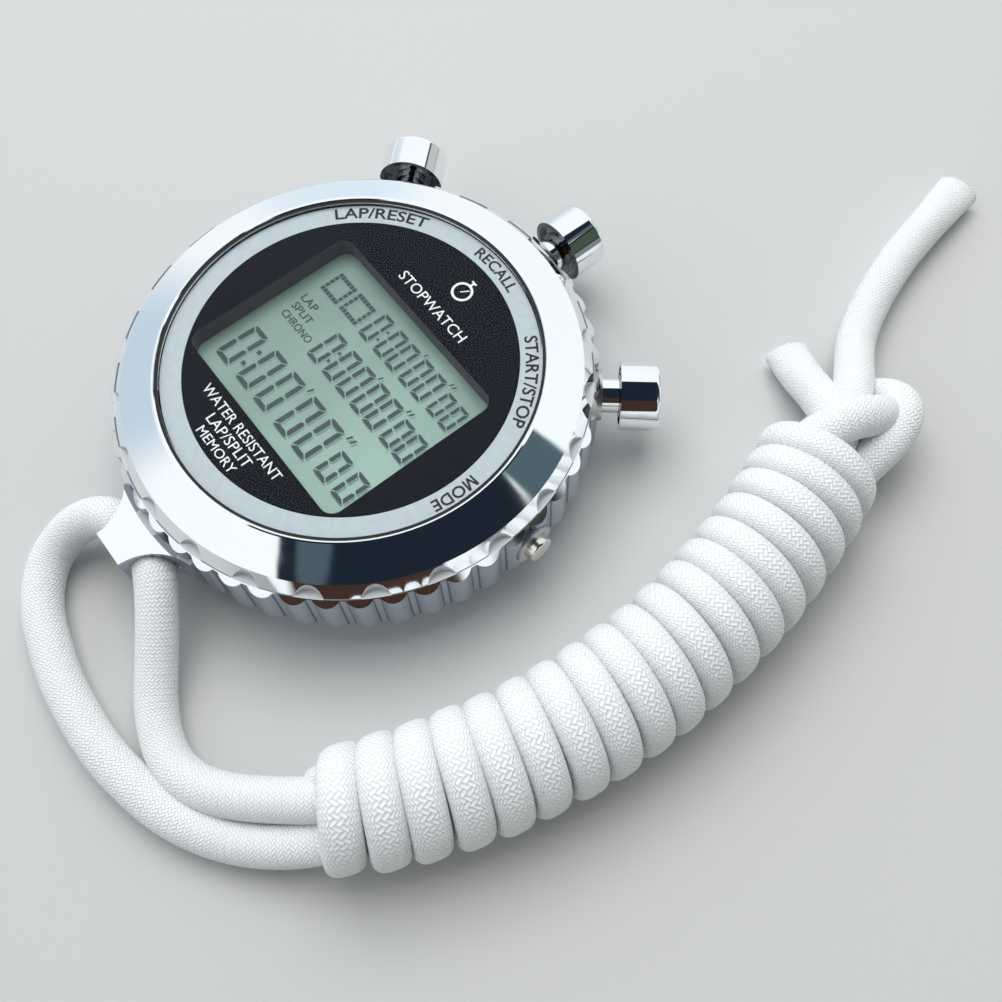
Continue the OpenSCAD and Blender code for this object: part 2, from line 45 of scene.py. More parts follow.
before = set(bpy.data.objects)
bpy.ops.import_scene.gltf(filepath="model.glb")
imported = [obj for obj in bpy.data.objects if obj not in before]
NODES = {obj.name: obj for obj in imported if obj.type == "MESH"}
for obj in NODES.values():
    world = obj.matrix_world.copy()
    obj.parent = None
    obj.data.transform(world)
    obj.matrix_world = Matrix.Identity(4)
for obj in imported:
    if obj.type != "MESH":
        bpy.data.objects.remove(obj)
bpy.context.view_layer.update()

MM = 0.001
SEED = 7
BUTTONS = ("start_stop", "lap_reset", "recall", "mode")

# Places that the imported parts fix
PRINT_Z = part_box("dial_ring")[1].z
LCD_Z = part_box("lcd_panel")[1].z
LENS_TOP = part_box("lens")[1].z
LENS_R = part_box("lens")[1].x


# ---- Sizes and colours that a user would change ----


def length(name, about, default):
    """A size in metres."""
    return FloatProperty(name=name, description=about, default=default, unit="LENGTH", precision=5)


def angle(name, about, default):
    """An angle, given here in degrees."""
    return FloatProperty(name=name, description=about, default=math.radians(default), unit="ROTATION")


def colour(name, about, default):
    """A linear colour."""
    return FloatVectorProperty(
        name=name, description=about, default=default, size=3, subtype="COLOR", min=0, max=1
    )


def factor(name, about, default):
    """A share from 0 to 1."""
    return FloatProperty(
        name=name, description=about, default=default, subtype="FACTOR", min=0, max=1
    )


class StopwatchCord(bpy.types.PropertyGroup):
    """Sizes and colour of the braided neck cord."""

    diameter: length("Diameter", "Diameter of the round cord", 5.5 * MM)
    turns: FloatProperty(name="Turns", description="Turns wound round the hank", default=18.0)
    turn_radius: length("Turn radius", "From the hank's middle to the middle of a turn", 5.85 * MM)
    turn_height: length("Turn thickness", "Thickness of a pressed turn", 5.3 * MM)
    strands: IntProperty(name="Strands", description="Pairs of braid strands round the cord", default=15)
    stitch: length("Stitch", "Length of one stitch along the cord", 0.48 * MM)
    sides: IntProperty(name="Sides", description="Sides of the cord's mesh", default=28)
    ring_gap: length("Ring gap", "Distance between rings of the cord's mesh", 0.8 * MM)
    white: colour("White", "Colour of the braid's crests", (0.94, 0.955, 0.96))
    # Painted shade: the gap colour darkens the cord between the stitches.
    gap: colour("Gap", "Colour between the stitches", (0.79, 0.815, 0.825))


class StopwatchMetal(bpy.types.PropertyGroup):
    """Colours and finish of the metal parts."""

    chrome: colour("Chrome", "Mirror chrome", (0.90, 0.93, 0.95))
    satin: colour("Satin", "Satin plating of the grip rim", (0.44, 0.49, 0.55))
    steel: colour("Steel", "Turned and brushed steel", (0.66, 0.67, 0.69))
    nickel: colour("Nickel", "Warm nickel of the mode button", (0.80, 0.77, 0.71))
    brass: colour("Brass", "Plated contact strips", (0.78, 0.62, 0.34))
    mirror: factor("Mirror roughness", "Roughness of the chrome", 0.035)
    matt: factor("Satin roughness", "Roughness of the satin rim", 0.34)


class StopwatchDisplay(bpy.types.PropertyGroup):
    """Colours of the display and its prints."""

    panel: colour("Panel", "Liquid crystal panel", (0.385, 0.56, 0.475))
    segment: colour("Segment", "Driven segment", (0.050, 0.078, 0.085))
    shadow: colour("Shadow", "Shadow that a segment casts on the reflector", (0.205, 0.30, 0.27))
    mask: colour("Mask", "Dark printed dial", (0.006, 0.0075, 0.012))
    silver: colour("Silver", "Silver print of the legend ring", (0.53, 0.60, 0.63))
    ink: colour("Ink", "Black ink of the legends", (0.012, 0.012, 0.014))
    white: colour("White", "White ink of the dial's words", (0.86, 0.87, 0.88))
    ink_t: length("Ink thickness", "Thickness of the printed ink", 0.015 * MM)


class StopwatchStage(bpy.types.PropertyGroup):
    """Camera, floor and light."""

    focal: FloatProperty(name="Focal length", description="Of the lens", default=41.09, unit="CAMERA")
    turn: angle("Turn", "Turn of the camera round the dial", 55.545)
    elevation: angle("Elevation", "Height of the camera's aim above the floor", 66.227)
    roll: angle("Roll", "Roll of the camera", -3.864)
    floor: colour("Floor", "Pale paper floor", (0.60, 0.60, 0.595))
    key: FloatProperty(name="Key", description="Power of the overhead light", default=2.6, unit="POWER")
    sky: FloatProperty(name="Surround", description="Strength of the white surround", default=1.0)


# ---- Shapes ----


def link(name, mesh, material):
    """Puts a mesh in the scene as a piece that rides on the case."""
    piece = bpy.data.objects.new(name, mesh)
    bpy.context.scene.collection.objects.link(piece)
    if not mesh.materials:
        mesh.materials.append(material)
    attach(piece, "case")
    return piece


def mesh_of(name, points, faces, smooth=True):
    """A mesh from its points and faces."""
    mesh = bpy.data.meshes.new(name)
    mesh.from_pydata([tuple(p) for p in points], [], faces)
    mesh.polygons.foreach_set("use_smooth", [smooth] * len(mesh.polygons))
    mesh.update()
    return mesh


def unit(rows):
    """Rows scaled to length 1."""
    rows = np.asarray(rows, float)
    return rows / np.maximum(np.linalg.norm(rows, axis=-1, keepdims=True), 1e-12)


def smooth_route(points, step):
    """Points about step apart on a smooth curve through given ones."""
    p = np.asarray(points, float)
    p = np.vstack([2 * p[0] - p[1], p, 2 * p[-1] - p[-2]])
    out = []
    for a, b, c, d in zip(p[:-3], p[1:-2], p[2:-1], p[3:]):
        knots = np.cumsum([0] + [math.sqrt(np.linalg.norm(y - x)) for x, y in ((a, b), (b, c), (c, d))])
        t0, t1, t2, t3 = knots
        for t in np.linspace(t1, t2, 12, endpoint=False):
            ab = (t1 - t) / (t1 - t0) * a + (t - t0) / (t1 - t0) * b
            bc = (t2 - t) / (t2 - t1) * b + (t - t1) / (t2 - t1) * c
            cd = (t3 - t) / (t3 - t2) * c + (t - t2) / (t3 - t2) * d
            abc = (t2 - t) / (t2 - t0) * ab + (t - t0) / (t2 - t0) * bc
            bcd = (t3 - t) / (t3 - t1) * bc + (t - t1) / (t3 - t1) * cd
            out.append((t2 - t) / (t2 - t1) * abc + (t - t1) / (t2 - t1) * bcd)
    out.append(p[-2])
    return even(np.array(out), step)


def even(line, step):
    """The same line with its points the same distance apart."""
    along = np.concatenate([[0], np.cumsum(np.linalg.norm(np.diff(line, axis=0), axis=1))])
    at = np.linspace(0, along[-1], max(2, round(along[-1] / step) + 1))
    return np.stack([np.interp(at, along, line[:, k]) for k in range(line.shape[1])], axis=1)


def relax(values, passes):
    """Rows averaged with their neighbours, with both ends held."""
    v = np.array(values, float)
    for _ in range(passes):
        v[1:-1] = (v[:-2] + 2 * v[1:-1] + v[2:]) / 4
    return v


def boxed(values, corner):
    """Sines or cosines pushed outward, so that a round section gets flatter sides."""
    return np.sign(values) * np.abs(values) ** (1 / corner)


def sweep(name, path, ups, wide, high, corner, sides, material):
    """Braided tube along a path: half sizes wide and high across it, and UV in turns and metres."""
    path, count = np.asarray(path, float), len(path)
    along = unit(np.gradient(path, axis=0))
    side = unit(np.cross(along, ups))
    up = np.cross(side, along)
    turn = 2 * math.pi * np.arange(sides) / sides
    across = wide[:, None] * boxed(np.cos(turn), corner[:, None])
    upward = high[:, None] * boxed(np.sin(turn), corner[:, None])
    ring = path[:, None] + across[:, :, None] * side[:, None] + upward[:, :, None] * up[:, None]
    cut = 0.12 * (wide[0] + high[0])
    rng = random.Random(SEED)
    ragged = np.array([rng.uniform(-0.25, 0.15) for _ in range(sides)])
    ring[-1] += np.outer(ragged * MM, along[-1])
    ends = []
    for i, way in ((0, -1), (count - 1, 1)):
        for share, reach in ((0.95, 0.2), (0.8, 0.3), (0.45, 0.15)):
            ends.append(path[i] + (ring[i] - path[i]) * share + way * reach * cut * along[i])
    middles = [path[0], path[-1]]
    rings = [ends[2], ends[1], ends[0], *ring, *ends[3:]]
    points = np.vstack([np.vstack(rings), middles])
    faces, uvs = [], []
    metres = np.concatenate([[0], np.cumsum(np.linalg.norm(np.diff(path, axis=0), axis=1))])
    past = cut * np.array([1, 2, 3])
    metres = np.concatenate([metres[0] - past[::-1], metres, metres[-1] + past])
    for i in range(len(rings) - 1):
        for k in range(sides):
            n = (k + 1) % sides
            faces.append((i * sides + k, i * sides + n, (i + 1) * sides + n, (i + 1) * sides + k))
            a, b, u, v = metres[i], metres[i + 1], k / sides, (k + 1) / sides
            uvs += [(u, a), (v, a), (v, b), (u, b)]
    last = (len(rings) - 1) * sides
    for k in range(sides):
        n = (k + 1) % sides
        faces.append((len(points) - 2, n, k))
        faces.append((len(points) - 1, last + k, last + n))
        uvs += [(0.5, 0)] * 6
    mesh = mesh_of(name, points, faces)
    layer = mesh.uv_layers.new(name="Braid")
    layer.data.foreach_set("uv", np.array(uvs, np.float32).ravel())
    mesh.materials.append(material)
    return mesh


def disc(name, radius, low, high, edge, steps=128):
    """Flat round plate with rounded edges."""
    bm = bmesh.new()
    profile = [(0, low), (radius - edge, low)]
    for k in range(1, 5):
        a = math.radians(90 * k / 4)
        profile.append((radius - edge + edge * math.sin(a), low + edge - edge * math.cos(a)))
    for k in range(5):
        a = math.radians(90 * k / 4)
        profile.append((radius - edge + edge * math.cos(a), high - edge + edge * math.sin(a)))
    profile.append((0, high))
    verts = [bm.verts.new((r, 0, z)) for r, z in profile]
    edges = [bm.edges.new(pair) for pair in zip(verts[:-1], verts[1:])]
    bmesh.ops.spin(
        bm, geom=verts + edges, axis=(0, 0, 1), cent=(0, 0, 0), steps=steps, angle=2 * math.pi
    )
    bmesh.ops.remove_doubles(bm, verts=bm.verts, dist=1e-6)
    bmesh.ops.recalc_face_normals(bm, faces=bm.faces)
    mesh = bpy.data.meshes.new(name)
    bm.to_mesh(mesh)
    bm.free()
    for p in mesh.polygons:
        p.use_smooth = abs(p.normal.z) < 0.99
    return mesh


def plates(name, outlines, low, high):
    """Flat printed shapes, one solid for each outline."""
    points, faces = [], []
    for outline in outlines:
        first, n = len(points), len(outline)
        points += [(x, y, low) for x, y in outline] + [(x, y, high) for x, y in outline]
        faces.append([first + k for k in reversed(range(n))])
        faces.append([first + n + k for k in range(n)])
        faces += [
            (first + k, first + (k + 1) % n, first + n + (k + 1) % n, first + n + k) for k in range(n)
        ]
    return mesh_of(name, points, faces, smooth=False)


def lettering(name, words, low, high, weight):
    """Flat words. Each is (text, width, height, place), and place takes x and y from the word's middle."""
    points, faces = [], []
    for text, width, height, place in words:
        curve = bpy.data.curves.new(name + "_type", "FONT")
        curve.body = text
        curve.extrude = 0.5
        curve.resolution_u = 3
        curve.offset = weight
        curve.align_x = "CENTER"
        holder = bpy.data.objects.new(name + "_type", curve)
        bpy.context.scene.collection.objects.link(holder)
        bpy.context.view_layer.update()
        flat = bpy.data.meshes.new_from_object(holder)
        bm = bmesh.new()
        bm.from_mesh(flat)
        bmesh.ops.remove_doubles(bm, verts=bm.verts, dist=1e-5)
        bm.verts.ensure_lookup_table()
        co = np.array([v.co for v in bm.verts])
        lo, hi = co.min(0), co.max(0)
        for v in bm.verts:
            x = ((v.co.x - lo[0]) / (hi[0] - lo[0]) - 0.5) * width
            y = ((v.co.y - lo[1]) / (hi[1] - lo[1]) - 0.5) * height
            spot = place(x, y)
            points.append((spot[0], spot[1], high if v.co.z > 0 else low))
        first = len(points) - len(bm.verts)
        faces += [[first + v.index for v in f.verts] for f in bm.faces]
        bm.free()
        bpy.data.objects.remove(holder)
        bpy.data.curves.remove(curve)
        bpy.data.meshes.remove(flat)
    return mesh_of(name, points, faces, smooth=False)


# ---- Shader helpers ----


class Shader:
    """Adds nodes to a node tree and joins them."""

    def __init__(self, tree):
        self.tree = tree

    def put(self, target, value):
        """Links a socket to an input, or sets the input's value."""
        if isinstance(value, bpy.types.NodeSocket):
            self.tree.links.new(value, target)
        elif value is not None:
            target.default_value = value

    def node(self, kind, inputs=(), **settings):
        n = self.tree.nodes.new("ShaderNode" + kind)
        for key, value in settings.items():
            setattr(n, key, value)
        for key, value in dict(inputs).items():
            self.put(n.inputs[key], value)
        return n

    def math(self, operation, a, b=None, c=None):
        n = self.node("Math", operation=operation)
        for socket, value in zip(n.inputs, (a, b, c)):
            self.put(socket, value)
        return n.outputs[0]

    def step(self, value, low, high, start=0.0, end=1.0):
        """Smooth step from start to end as value goes from low to high."""
        values = {0: value, 1: low, 2: high, 3: start, 4: end}
        return self.node("MapRange", values, interpolation_type="SMOOTHSTEP").outputs[0]

    def blend(self, share, a, b):
        """Colour from a to b as share goes from 0 to 1."""
        n = self.node("Mix", {0: share}, data_type="RGBA")
        for key, tint in ((6, a), (7, b)):
            self.put(n.inputs[key], tint if isinstance(tint, bpy.types.NodeSocket) else rgba(tint))
        return n.outputs[2]

    def noise(self, vector, scale, detail=3.0, rough=0.5):
        values = {"Vector": vector, "Scale": scale, "Detail": detail, "Roughness": rough}
        return self.node("TexNoise", values).outputs[0]

    def scaled(self, vector, by):
        n = self.node("VectorMath", operation="MULTIPLY")
        self.put(n.inputs[0], vector)
        self.put(n.inputs[1], by)
        return n.outputs[0]

    def place(self):
        """Place on the piece, in metres."""
        return self.node("TexCoord").outputs["Object"]

    def facing(self):
        """X, Y and Z of the direction that the face points in."""
        return self.node("SeparateXYZ", {0: self.node("NewGeometry").outputs["True Normal"]}).outputs

    def bump(self, height, strength, distance):
        values = {"Strength": strength, "Distance": distance, "Height": height}
        return self.node("Bump", values).outputs[0]

    def ends(self):
        """Input and output nodes of a node group's tree."""
        return self.tree.nodes.new("NodeGroupInput"), self.tree.nodes.new("NodeGroupOutput")


def rgba(tint):
    return (*tint[:3], 1.0)


def shade(tint, times, plus=0.0):
    """A tint made lighter or darker."""
    return tuple(min(1.0, c * times + plus) for c in tint[:3])


def new_material(name):
    """An empty material: (material, its Shader, its Principled node)."""
    material = bpy.data.materials.new(name)
    material.use_nodes = True
    material.node_tree.nodes.clear()
    s = Shader(material.node_tree)
    principled = s.node("BsdfPrincipled")
    s.node("OutputMaterial", {"Surface": principled.outputs[0]})
    return material, s, principled


def new_group(name, inputs, outputs):
    """A node group with named float sockets: (its Shader, input node, output node)."""
    group = bpy.data.node_groups.new(name, "ShaderNodeTree")
    for label, default in inputs:
        socket = group.interface.new_socket(name=label, in_out="INPUT", socket_type="NodeSocketFloat")
        socket.default_value = default
    for label in outputs:
        group.interface.new_socket(name=label, in_out="OUTPUT", socket_type="NodeSocketFloat")
    s = Shader(group)
    return s, *s.ends()


def group_node(s, name, **values):
    """Places a shared node group, with its own values."""
    n = s.node("Group")
    n.node_tree = bpy.data.node_groups[name]
    for key, value in values.items():
        s.put(n.inputs[key], value)
    return n


def polar(s, spot):
    """(x, y, z, radius, angle from twelve o'clock in degrees) of a place."""
    x, y, z = s.node("SeparateXYZ", {0: spot}).outputs
    radius = s.math("SQRT", s.math("ADD", s.math("POWER", x, 2.0), s.math("POWER", y, 2.0)))
    return x, y, z, radius, s.math("DEGREES", s.math("ARCTAN2", x, y))


def off_repeat(s, degrees, pitch):
    """Distance in degrees to the nearest multiple of a pitch, with its sign."""
    turns = s.math("ROUND", s.math("DIVIDE", degrees, pitch))
    return s.math("SUBTRACT", degrees, s.math("MULTIPLY", turns, pitch))


def handling_group():
    """Smudges and fine scratches that hands and pockets leave on metal."""
    s, gin, gout = new_group(
        "Handling", [("Base", 0.1), ("Smudge", 0.05), ("Scale", 90.0)], ["Roughness", "Height"]
    )
    spot = s.place()
    cloud = s.noise(spot, gin.outputs["Scale"], 5.0, 0.6)
    stretched = s.scaled(spot, (1, 8, 2))
    fine = s.noise(stretched, s.math("MULTIPLY", gin.outputs["Scale"], 26.0), 3.0, 0.7)
    smear = s.math("MULTIPLY", s.step(cloud, 0.45, 0.75), gin.outputs["Smudge"])
    grit = s.math("MULTIPLY", s.step(fine, 0.62, 0.8), s.math("MULTIPLY", gin.outputs["Smudge"], 0.6))
    s.put(gout.inputs["Roughness"], s.math("ADD", gin.outputs["Base"], s.math("ADD", smear, grit)))
    height = s.math("ADD", s.math("MULTIPLY", cloud, 0.7), s.math("MULTIPLY", fine, 0.3))
    s.put(gout.inputs["Height"], height)


def grain_group():
    """Fine moulded or sprayed grain."""
    s, gin, gout = new_group("Grain", [("Scale", 1500.0), ("Depth", 1.0)], ["Height", "Mask"])
    spot = s.place()
    cells = s.node("TexVoronoi", {"Vector": spot, "Scale": gin.outputs["Scale"]}, feature="SMOOTH_F1")
    cloud = s.noise(spot, s.math("MULTIPLY", gin.outputs["Scale"], 0.35), 4.0)
    both = s.math("ADD", s.math("MULTIPLY", cells.outputs[0], 0.6), s.math("MULTIPLY", cloud, 0.6))
    s.put(gout.inputs["Height"], s.math("MULTIPLY", both, gin.outputs["Depth"]))
    s.put(gout.inputs["Mask"], s.step(cloud, 0.35, 0.7))


def brushed_group():
    """Turned or brushed lines round the case's axis."""
    s, gin, gout = new_group("Brushed", [("Scale", 4000.0), ("Base", 0.3)], ["Roughness", "Height"])
    _, _, z, radius, _ = polar(s, s.place())
    ring = s.node("CombineXYZ", {0: radius, 1: z})
    lines = s.noise(ring.outputs[0], gin.outputs["Scale"], 2.0, 0.7)
    s.put(gout.inputs["Height"], lines)
    s.put(gout.inputs["Roughness"], s.math("ADD", gin.outputs["Base"], s.math("MULTIPLY", lines, 0.18)))


def scallop_group():
    """Mask of 1 inside the round cuts that repeat round the bezel, and 0 elsewhere."""
    sizes = [("Pitch", 15.0), ("Centre", 32.5 * MM), ("Radius", 2.1 * MM)]
    s, gin, gout = new_group("Scallops", sizes, ["Mask"])
    *_, radius, degrees = polar(s, s.place())
    off = s.math("RADIANS", off_repeat(s, degrees, gin.outputs["Pitch"]))
    across = s.math("MULTIPLY", radius, s.math("SINE", off))
    out = s.math("SUBTRACT", s.math("MULTIPLY", radius, s.math("COSINE", off)), gin.outputs["Centre"])
    to_cutter = s.math("SQRT", s.math("ADD", s.math("POWER", across, 2.0), s.math("POWER", out, 2.0)))
    inside = s.math("SUBTRACT", gin.outputs["Radius"], to_cutter)
    s.put(gout.inputs["Mask"], s.step(inside, -0.03 * MM, 0.03 * MM))


def braid_group():
    """Twill braid: strands of two ways pass over each other two at a time."""
    s, gin, gout = new_group("Braid", [("Strands", 30.0), ("Stitch", 0.48 * MM)], ["Height", "Crest"])
    uv = s.node("SeparateXYZ", {0: s.node("UVMap", uv_map="Braid").outputs[0]})
    u = s.math("MULTIPLY", uv.outputs[0], gin.outputs["Strands"])
    v = s.math("DIVIDE", uv.outputs[1], gin.outputs["Stitch"])
    wobble = s.math("MULTIPLY", s.math("SUBTRACT", s.noise(s.place(), 420.0, 2.0), 0.5), 0.8)
    a = s.math("ADD", s.math("ADD", u, v), wobble)
    b = s.math("SUBTRACT", u, v)
    fa, fb = s.math("FRACT", a), s.math("FRACT", b)
    steps = s.math("SUBTRACT", s.math("FLOOR", a), s.math("FLOOR", b))
    m = s.math("FLOORED_MODULO", steps, 4.0)
    first = s.math("LESS_THAN", m, 1.5)
    second = s.math("SUBTRACT", 1.0, first)
    across = s.math("ADD", s.math("MULTIPLY", first, fa), s.math("MULTIPLY", second, fb))
    run_a = s.math("DIVIDE", s.math("ADD", fb, s.math("SUBTRACT", 1.0, m)), 2.0)
    run_b = s.math("DIVIDE", s.math("ADD", fa, s.math("SUBTRACT", m, 2.0)), 2.0)
    run = s.math("ADD", s.math("MULTIPLY", first, run_a), s.math("MULTIPLY", second, run_b))

    def crown(t, power):
        middle = s.math("ABSOLUTE", s.math("SUBTRACT", s.math("MULTIPLY", t, 2.0), 1.0))
        return s.math("SUBTRACT", 1.0, s.math("POWER", middle, power))

    height = s.math("MULTIPLY", crown(across, 2.0), crown(run, 2.2))
    yarn = s.math("MULTIPLY", s.math("SINE", s.math("MULTIPLY", across, 25.0)), 0.05)
    fuzz = s.math("MULTIPLY", s.noise(s.place(), 5200.0, 3.0, 0.7), 0.12)
    s.put(gout.inputs["Height"], s.math("ADD", s.math("POWER", height, 0.6), s.math("ADD", yarn, fuzz)))
    s.put(gout.inputs["Crest"], s.step(height, 0.0, 0.55))


# ---- Materials ----


def plating(s, roughness, smudge, wave):
    """Handling marks on a slightly wavy plated surface: (their node, the surface's normal)."""
    marks = group_node(s, "Handling", Base=roughness, Smudge=smudge, Scale=70.0)
    slow = s.noise(s.place(), 160.0, 1.0, 0.3)
    height = s.math("ADD", slow, s.math("MULTIPLY", marks.outputs["Height"], 0.12))
    return marks, s.bump(height, 0.25, wave)


def chrome(name, base, roughness, smudge):
    """Mirror plating with light smudges, and painted shade where it faces the case."""
    material, s, p = new_material(name)
    marks, normal = plating(s, roughness, smudge, 0.004 * MM)
    tint = s.blend(s.step(marks.outputs["Height"], 0.4, 0.7), base, shade(base, 0.96))
    # Painted shade: faces that point in towards the case's axis get a base colour darkened to 0.16.
    x, y, _, radius, _ = polar(s, s.place())
    nx, ny, _ = s.facing()
    outward = s.math("ADD", s.math("MULTIPLY", x, nx), s.math("MULTIPLY", y, ny))
    inner = s.step(s.math("DIVIDE", outward, radius), -0.7, -0.9)
    s.put(p.inputs["Base Color"], s.blend(inner, tint, shade(base, 0.16)))
    s.put(p.inputs["Metallic"], 1.0)
    s.put(p.inputs["Roughness"], marks.outputs["Roughness"])
    s.put(p.inputs["Normal"], normal)
    return material


# Tone of the bezel's scallops, and painted shade on the ledge under them and on the lines in the valleys
SCALLOP_TONE = (0.60, 0.63, 0.65)
LEDGE_SHADE = (0.20, 0.22, 0.25)
VALLEY_SHADE = (0.10, 0.12, 0.15)
LOBE_PITCH = 7.5


def bezel_finish(metal):
    """Mirror chrome whose scallops are left satin."""
    material, s, p = new_material("Bezel_Chrome")
    marks, normal = plating(s, metal.mirror, 0.05, 0.012 * MM)
    satin = group_node(s, "Scallops").outputs["Mask"]
    s.put(p.inputs["Base Color"], s.blend(satin, metal.chrome, SCALLOP_TONE))
    s.put(p.inputs["Metallic"], s.math("SUBTRACT", 1.0, s.math("MULTIPLY", satin, 0.75)))
    rough = s.math("ADD", marks.outputs["Roughness"], s.math("MULTIPLY", satin, 0.42))
    s.put(p.inputs["Roughness"], rough)
    s.put(p.inputs["Normal"], normal)
    return material


def rim_finish(metal):
    """Satin lobes with polished tops, painted shade lines in the valleys, painted shade on the ledge under
    the bezel and a polished lug.
    """
    material, s, p = new_material("Rim_Satin")
    marks = group_node(s, "Handling", Base=metal.matt, Smudge=0.06, Scale=80.0)
    *_, radius, degrees = polar(s, s.place())
    facing = s.facing()[2]
    polished = s.step(facing, 0.12, 0.3)
    # Painted shade: dark lines down the lobes' sides where they meet in the valleys.
    off = s.math("ABSOLUTE", off_repeat(s, degrees, LOBE_PITCH))
    line = s.math("SUBTRACT", 1.0, s.step(s.math("ABSOLUTE", s.math("SUBTRACT", off, 0.8)), 0.05, 0.3))
    side = s.math("MULTIPLY", s.step(radius, 31.2 * MM, 31.6 * MM), s.math("SUBTRACT", 1.0, polished))
    dark = s.math("MULTIPLY", s.math("MULTIPLY", line, side), 0.75)
    tone = s.blend(polished, metal.satin, metal.chrome)
    within = s.math("SUBTRACT", 1.0, s.step(radius, 33 * MM, 33.2 * MM))
    # Painted shade: the flat ledge under the bezel is darkened; inside the scallops it keeps the satin
    # scallop tone.
    ledge = s.math("MULTIPLY", s.step(facing, 0.9, 0.97), within)
    cut = s.math("MULTIPLY", ledge, group_node(s, "Scallops").outputs["Mask"])
    tone = s.blend(cut, s.blend(ledge, tone, LEDGE_SHADE), SCALLOP_TONE)
    s.put(p.inputs["Base Color"], s.blend(dark, tone, VALLEY_SHADE))
    s.put(p.inputs["Metallic"], s.math("SUBTRACT", 1.0, s.math("MULTIPLY", cut, 0.75)))
    rough = s.math("SUBTRACT", marks.outputs["Roughness"], s.math("MULTIPLY", polished, metal.matt - 0.06))
    s.put(p.inputs["Roughness"], s.math("ADD", rough, s.math("MULTIPLY", cut, 0.4)))
    fine = s.noise(s.place(), 9000.0, 2.0, 0.6)
    s.put(p.inputs["Normal"], s.bump(fine, 0.05, 0.01 * MM))
    return material


def turned(name, base, roughness, scale=5000.0):
    """Turned or drawn metal with fine lines round the case's axis."""
    material, s, p = new_material(name)
    lines = group_node(s, "Brushed", Base=roughness, Scale=scale)
    marks = group_node(s, "Handling", Base=0.0, Smudge=0.08, Scale=110.0)
    s.put(p.inputs["Base Color"], s.blend(lines.outputs["Height"], base, shade(base, 0.86)))
    s.put(p.inputs["Metallic"], 1.0)
    s.put(p.inputs["Roughness"], s.math("ADD", lines.outputs["Roughness"], marks.outputs["Roughness"]))
    s.put(p.inputs["Normal"], s.bump(lines.outputs["Height"], 0.2, 0.01 * MM))
    return material


def moulded(name, base, roughness, scale=1500.0, depth=0.01 * MM, coat=0.0):
    """Moulded, printed or painted surface with fine grain."""
    material, s, p = new_material(name)
    grain = group_node(s, "Grain", Scale=scale, Depth=1.0)
    s.put(p.inputs["Base Color"], s.blend(grain.outputs["Mask"], base, shade(base, 1.06, 0.002)))
    s.put(p.inputs["Roughness"], s.math("ADD", roughness, s.math("MULTIPLY", grain.outputs["Mask"], 0.08)))
    s.put(p.inputs["Coat Weight"], coat)
    s.put(p.inputs["Normal"], s.bump(grain.outputs["Height"], 0.3, depth))
    return material


def braid_finish(cord):
    """White braided polyester with painted shade between the stitches and a few duller stretches."""
    material, s, p = new_material("Cord_Braid")
    braid = group_node(s, "Braid", Strands=float(cord.strands * 2), Stitch=cord.stitch)
    crest = braid.outputs["Crest"]
    worn = s.step(s.noise(s.place(), 55.0, 3.0), 0.35, 0.75, 0.0, 0.07)
    # Painted shade: the gap colour goes between the stitches and the white colour on their crests.
    tone = s.blend(crest, cord.gap, cord.white)
    s.put(p.inputs["Base Color"], s.blend(worn, tone, (0.70, 0.71, 0.70)))
    s.put(p.inputs["Roughness"], s.math("SUBTRACT", 0.85, s.math("MULTIPLY", crest, 0.2)))
    s.put(p.inputs["Sheen Weight"], 0.25)
    s.put(p.inputs["Sheen Roughness"], 0.4)
    s.put(p.inputs["Normal"], s.bump(braid.outputs["Height"], 0.7, 0.18 * MM))
    return material


def crystal_finish():
    """Clear acrylic that lets lamps through."""
    material, s, p = new_material("Crystal")
    marks = group_node(s, "Handling", Base=0.0, Smudge=0.02, Scale=60.0)
    s.put(p.inputs["Base Color"], rgba((0.98, 0.99, 1.0)))
    s.put(p.inputs["Roughness"], marks.outputs["Roughness"])
    s.put(p.inputs["IOR"], 1.15)
    s.put(p.inputs["Transmission Weight"], 1.0)
    clear = s.node("BsdfTransparent")
    mix = s.node("MixShader")
    s.put(mix.inputs[0], s.node("LightPath").outputs["Is Shadow Ray"])
    s.put(mix.inputs[1], p.outputs[0])
    s.put(mix.inputs[2], clear.outputs[0])
    s.put(next(n for n in s.tree.nodes if n.type == "OUTPUT_MATERIAL").inputs[0], mix.outputs[0])
    return material


def panel_finish(display):
    """Grey-green liquid crystal panel, with painted shade under the window's upper left walls."""
    material, s, p = new_material("Lcd_Panel")
    grain = group_node(s, "Grain", Scale=2600.0, Depth=1.0)
    x, y, *_ = polar(s, s.place())
    # Painted shade: drift darkens the panel towards the upper left, where the window's walls would shade
    # it.
    slope = s.math("MULTIPLY", s.math("SUBTRACT", x, y), 14.0)
    drift = s.step(s.math("ADD", slope, s.noise(s.place(), 60.0, 2.0)), 0.2, 0.95)
    tone = s.blend(drift, shade(display.panel, 0.64), display.panel)
    speck = s.math("MULTIPLY", grain.outputs["Mask"], 0.06)
    s.put(p.inputs["Base Color"], s.blend(speck, tone, shade(display.panel, 0.5)))
    s.put(p.inputs["Roughness"], s.math("ADD", 0.35, s.math("MULTIPLY", grain.outputs["Mask"], 0.1)))
    s.put(p.inputs["Normal"], s.bump(grain.outputs["Height"], 0.08, 0.01 * MM))
    return material


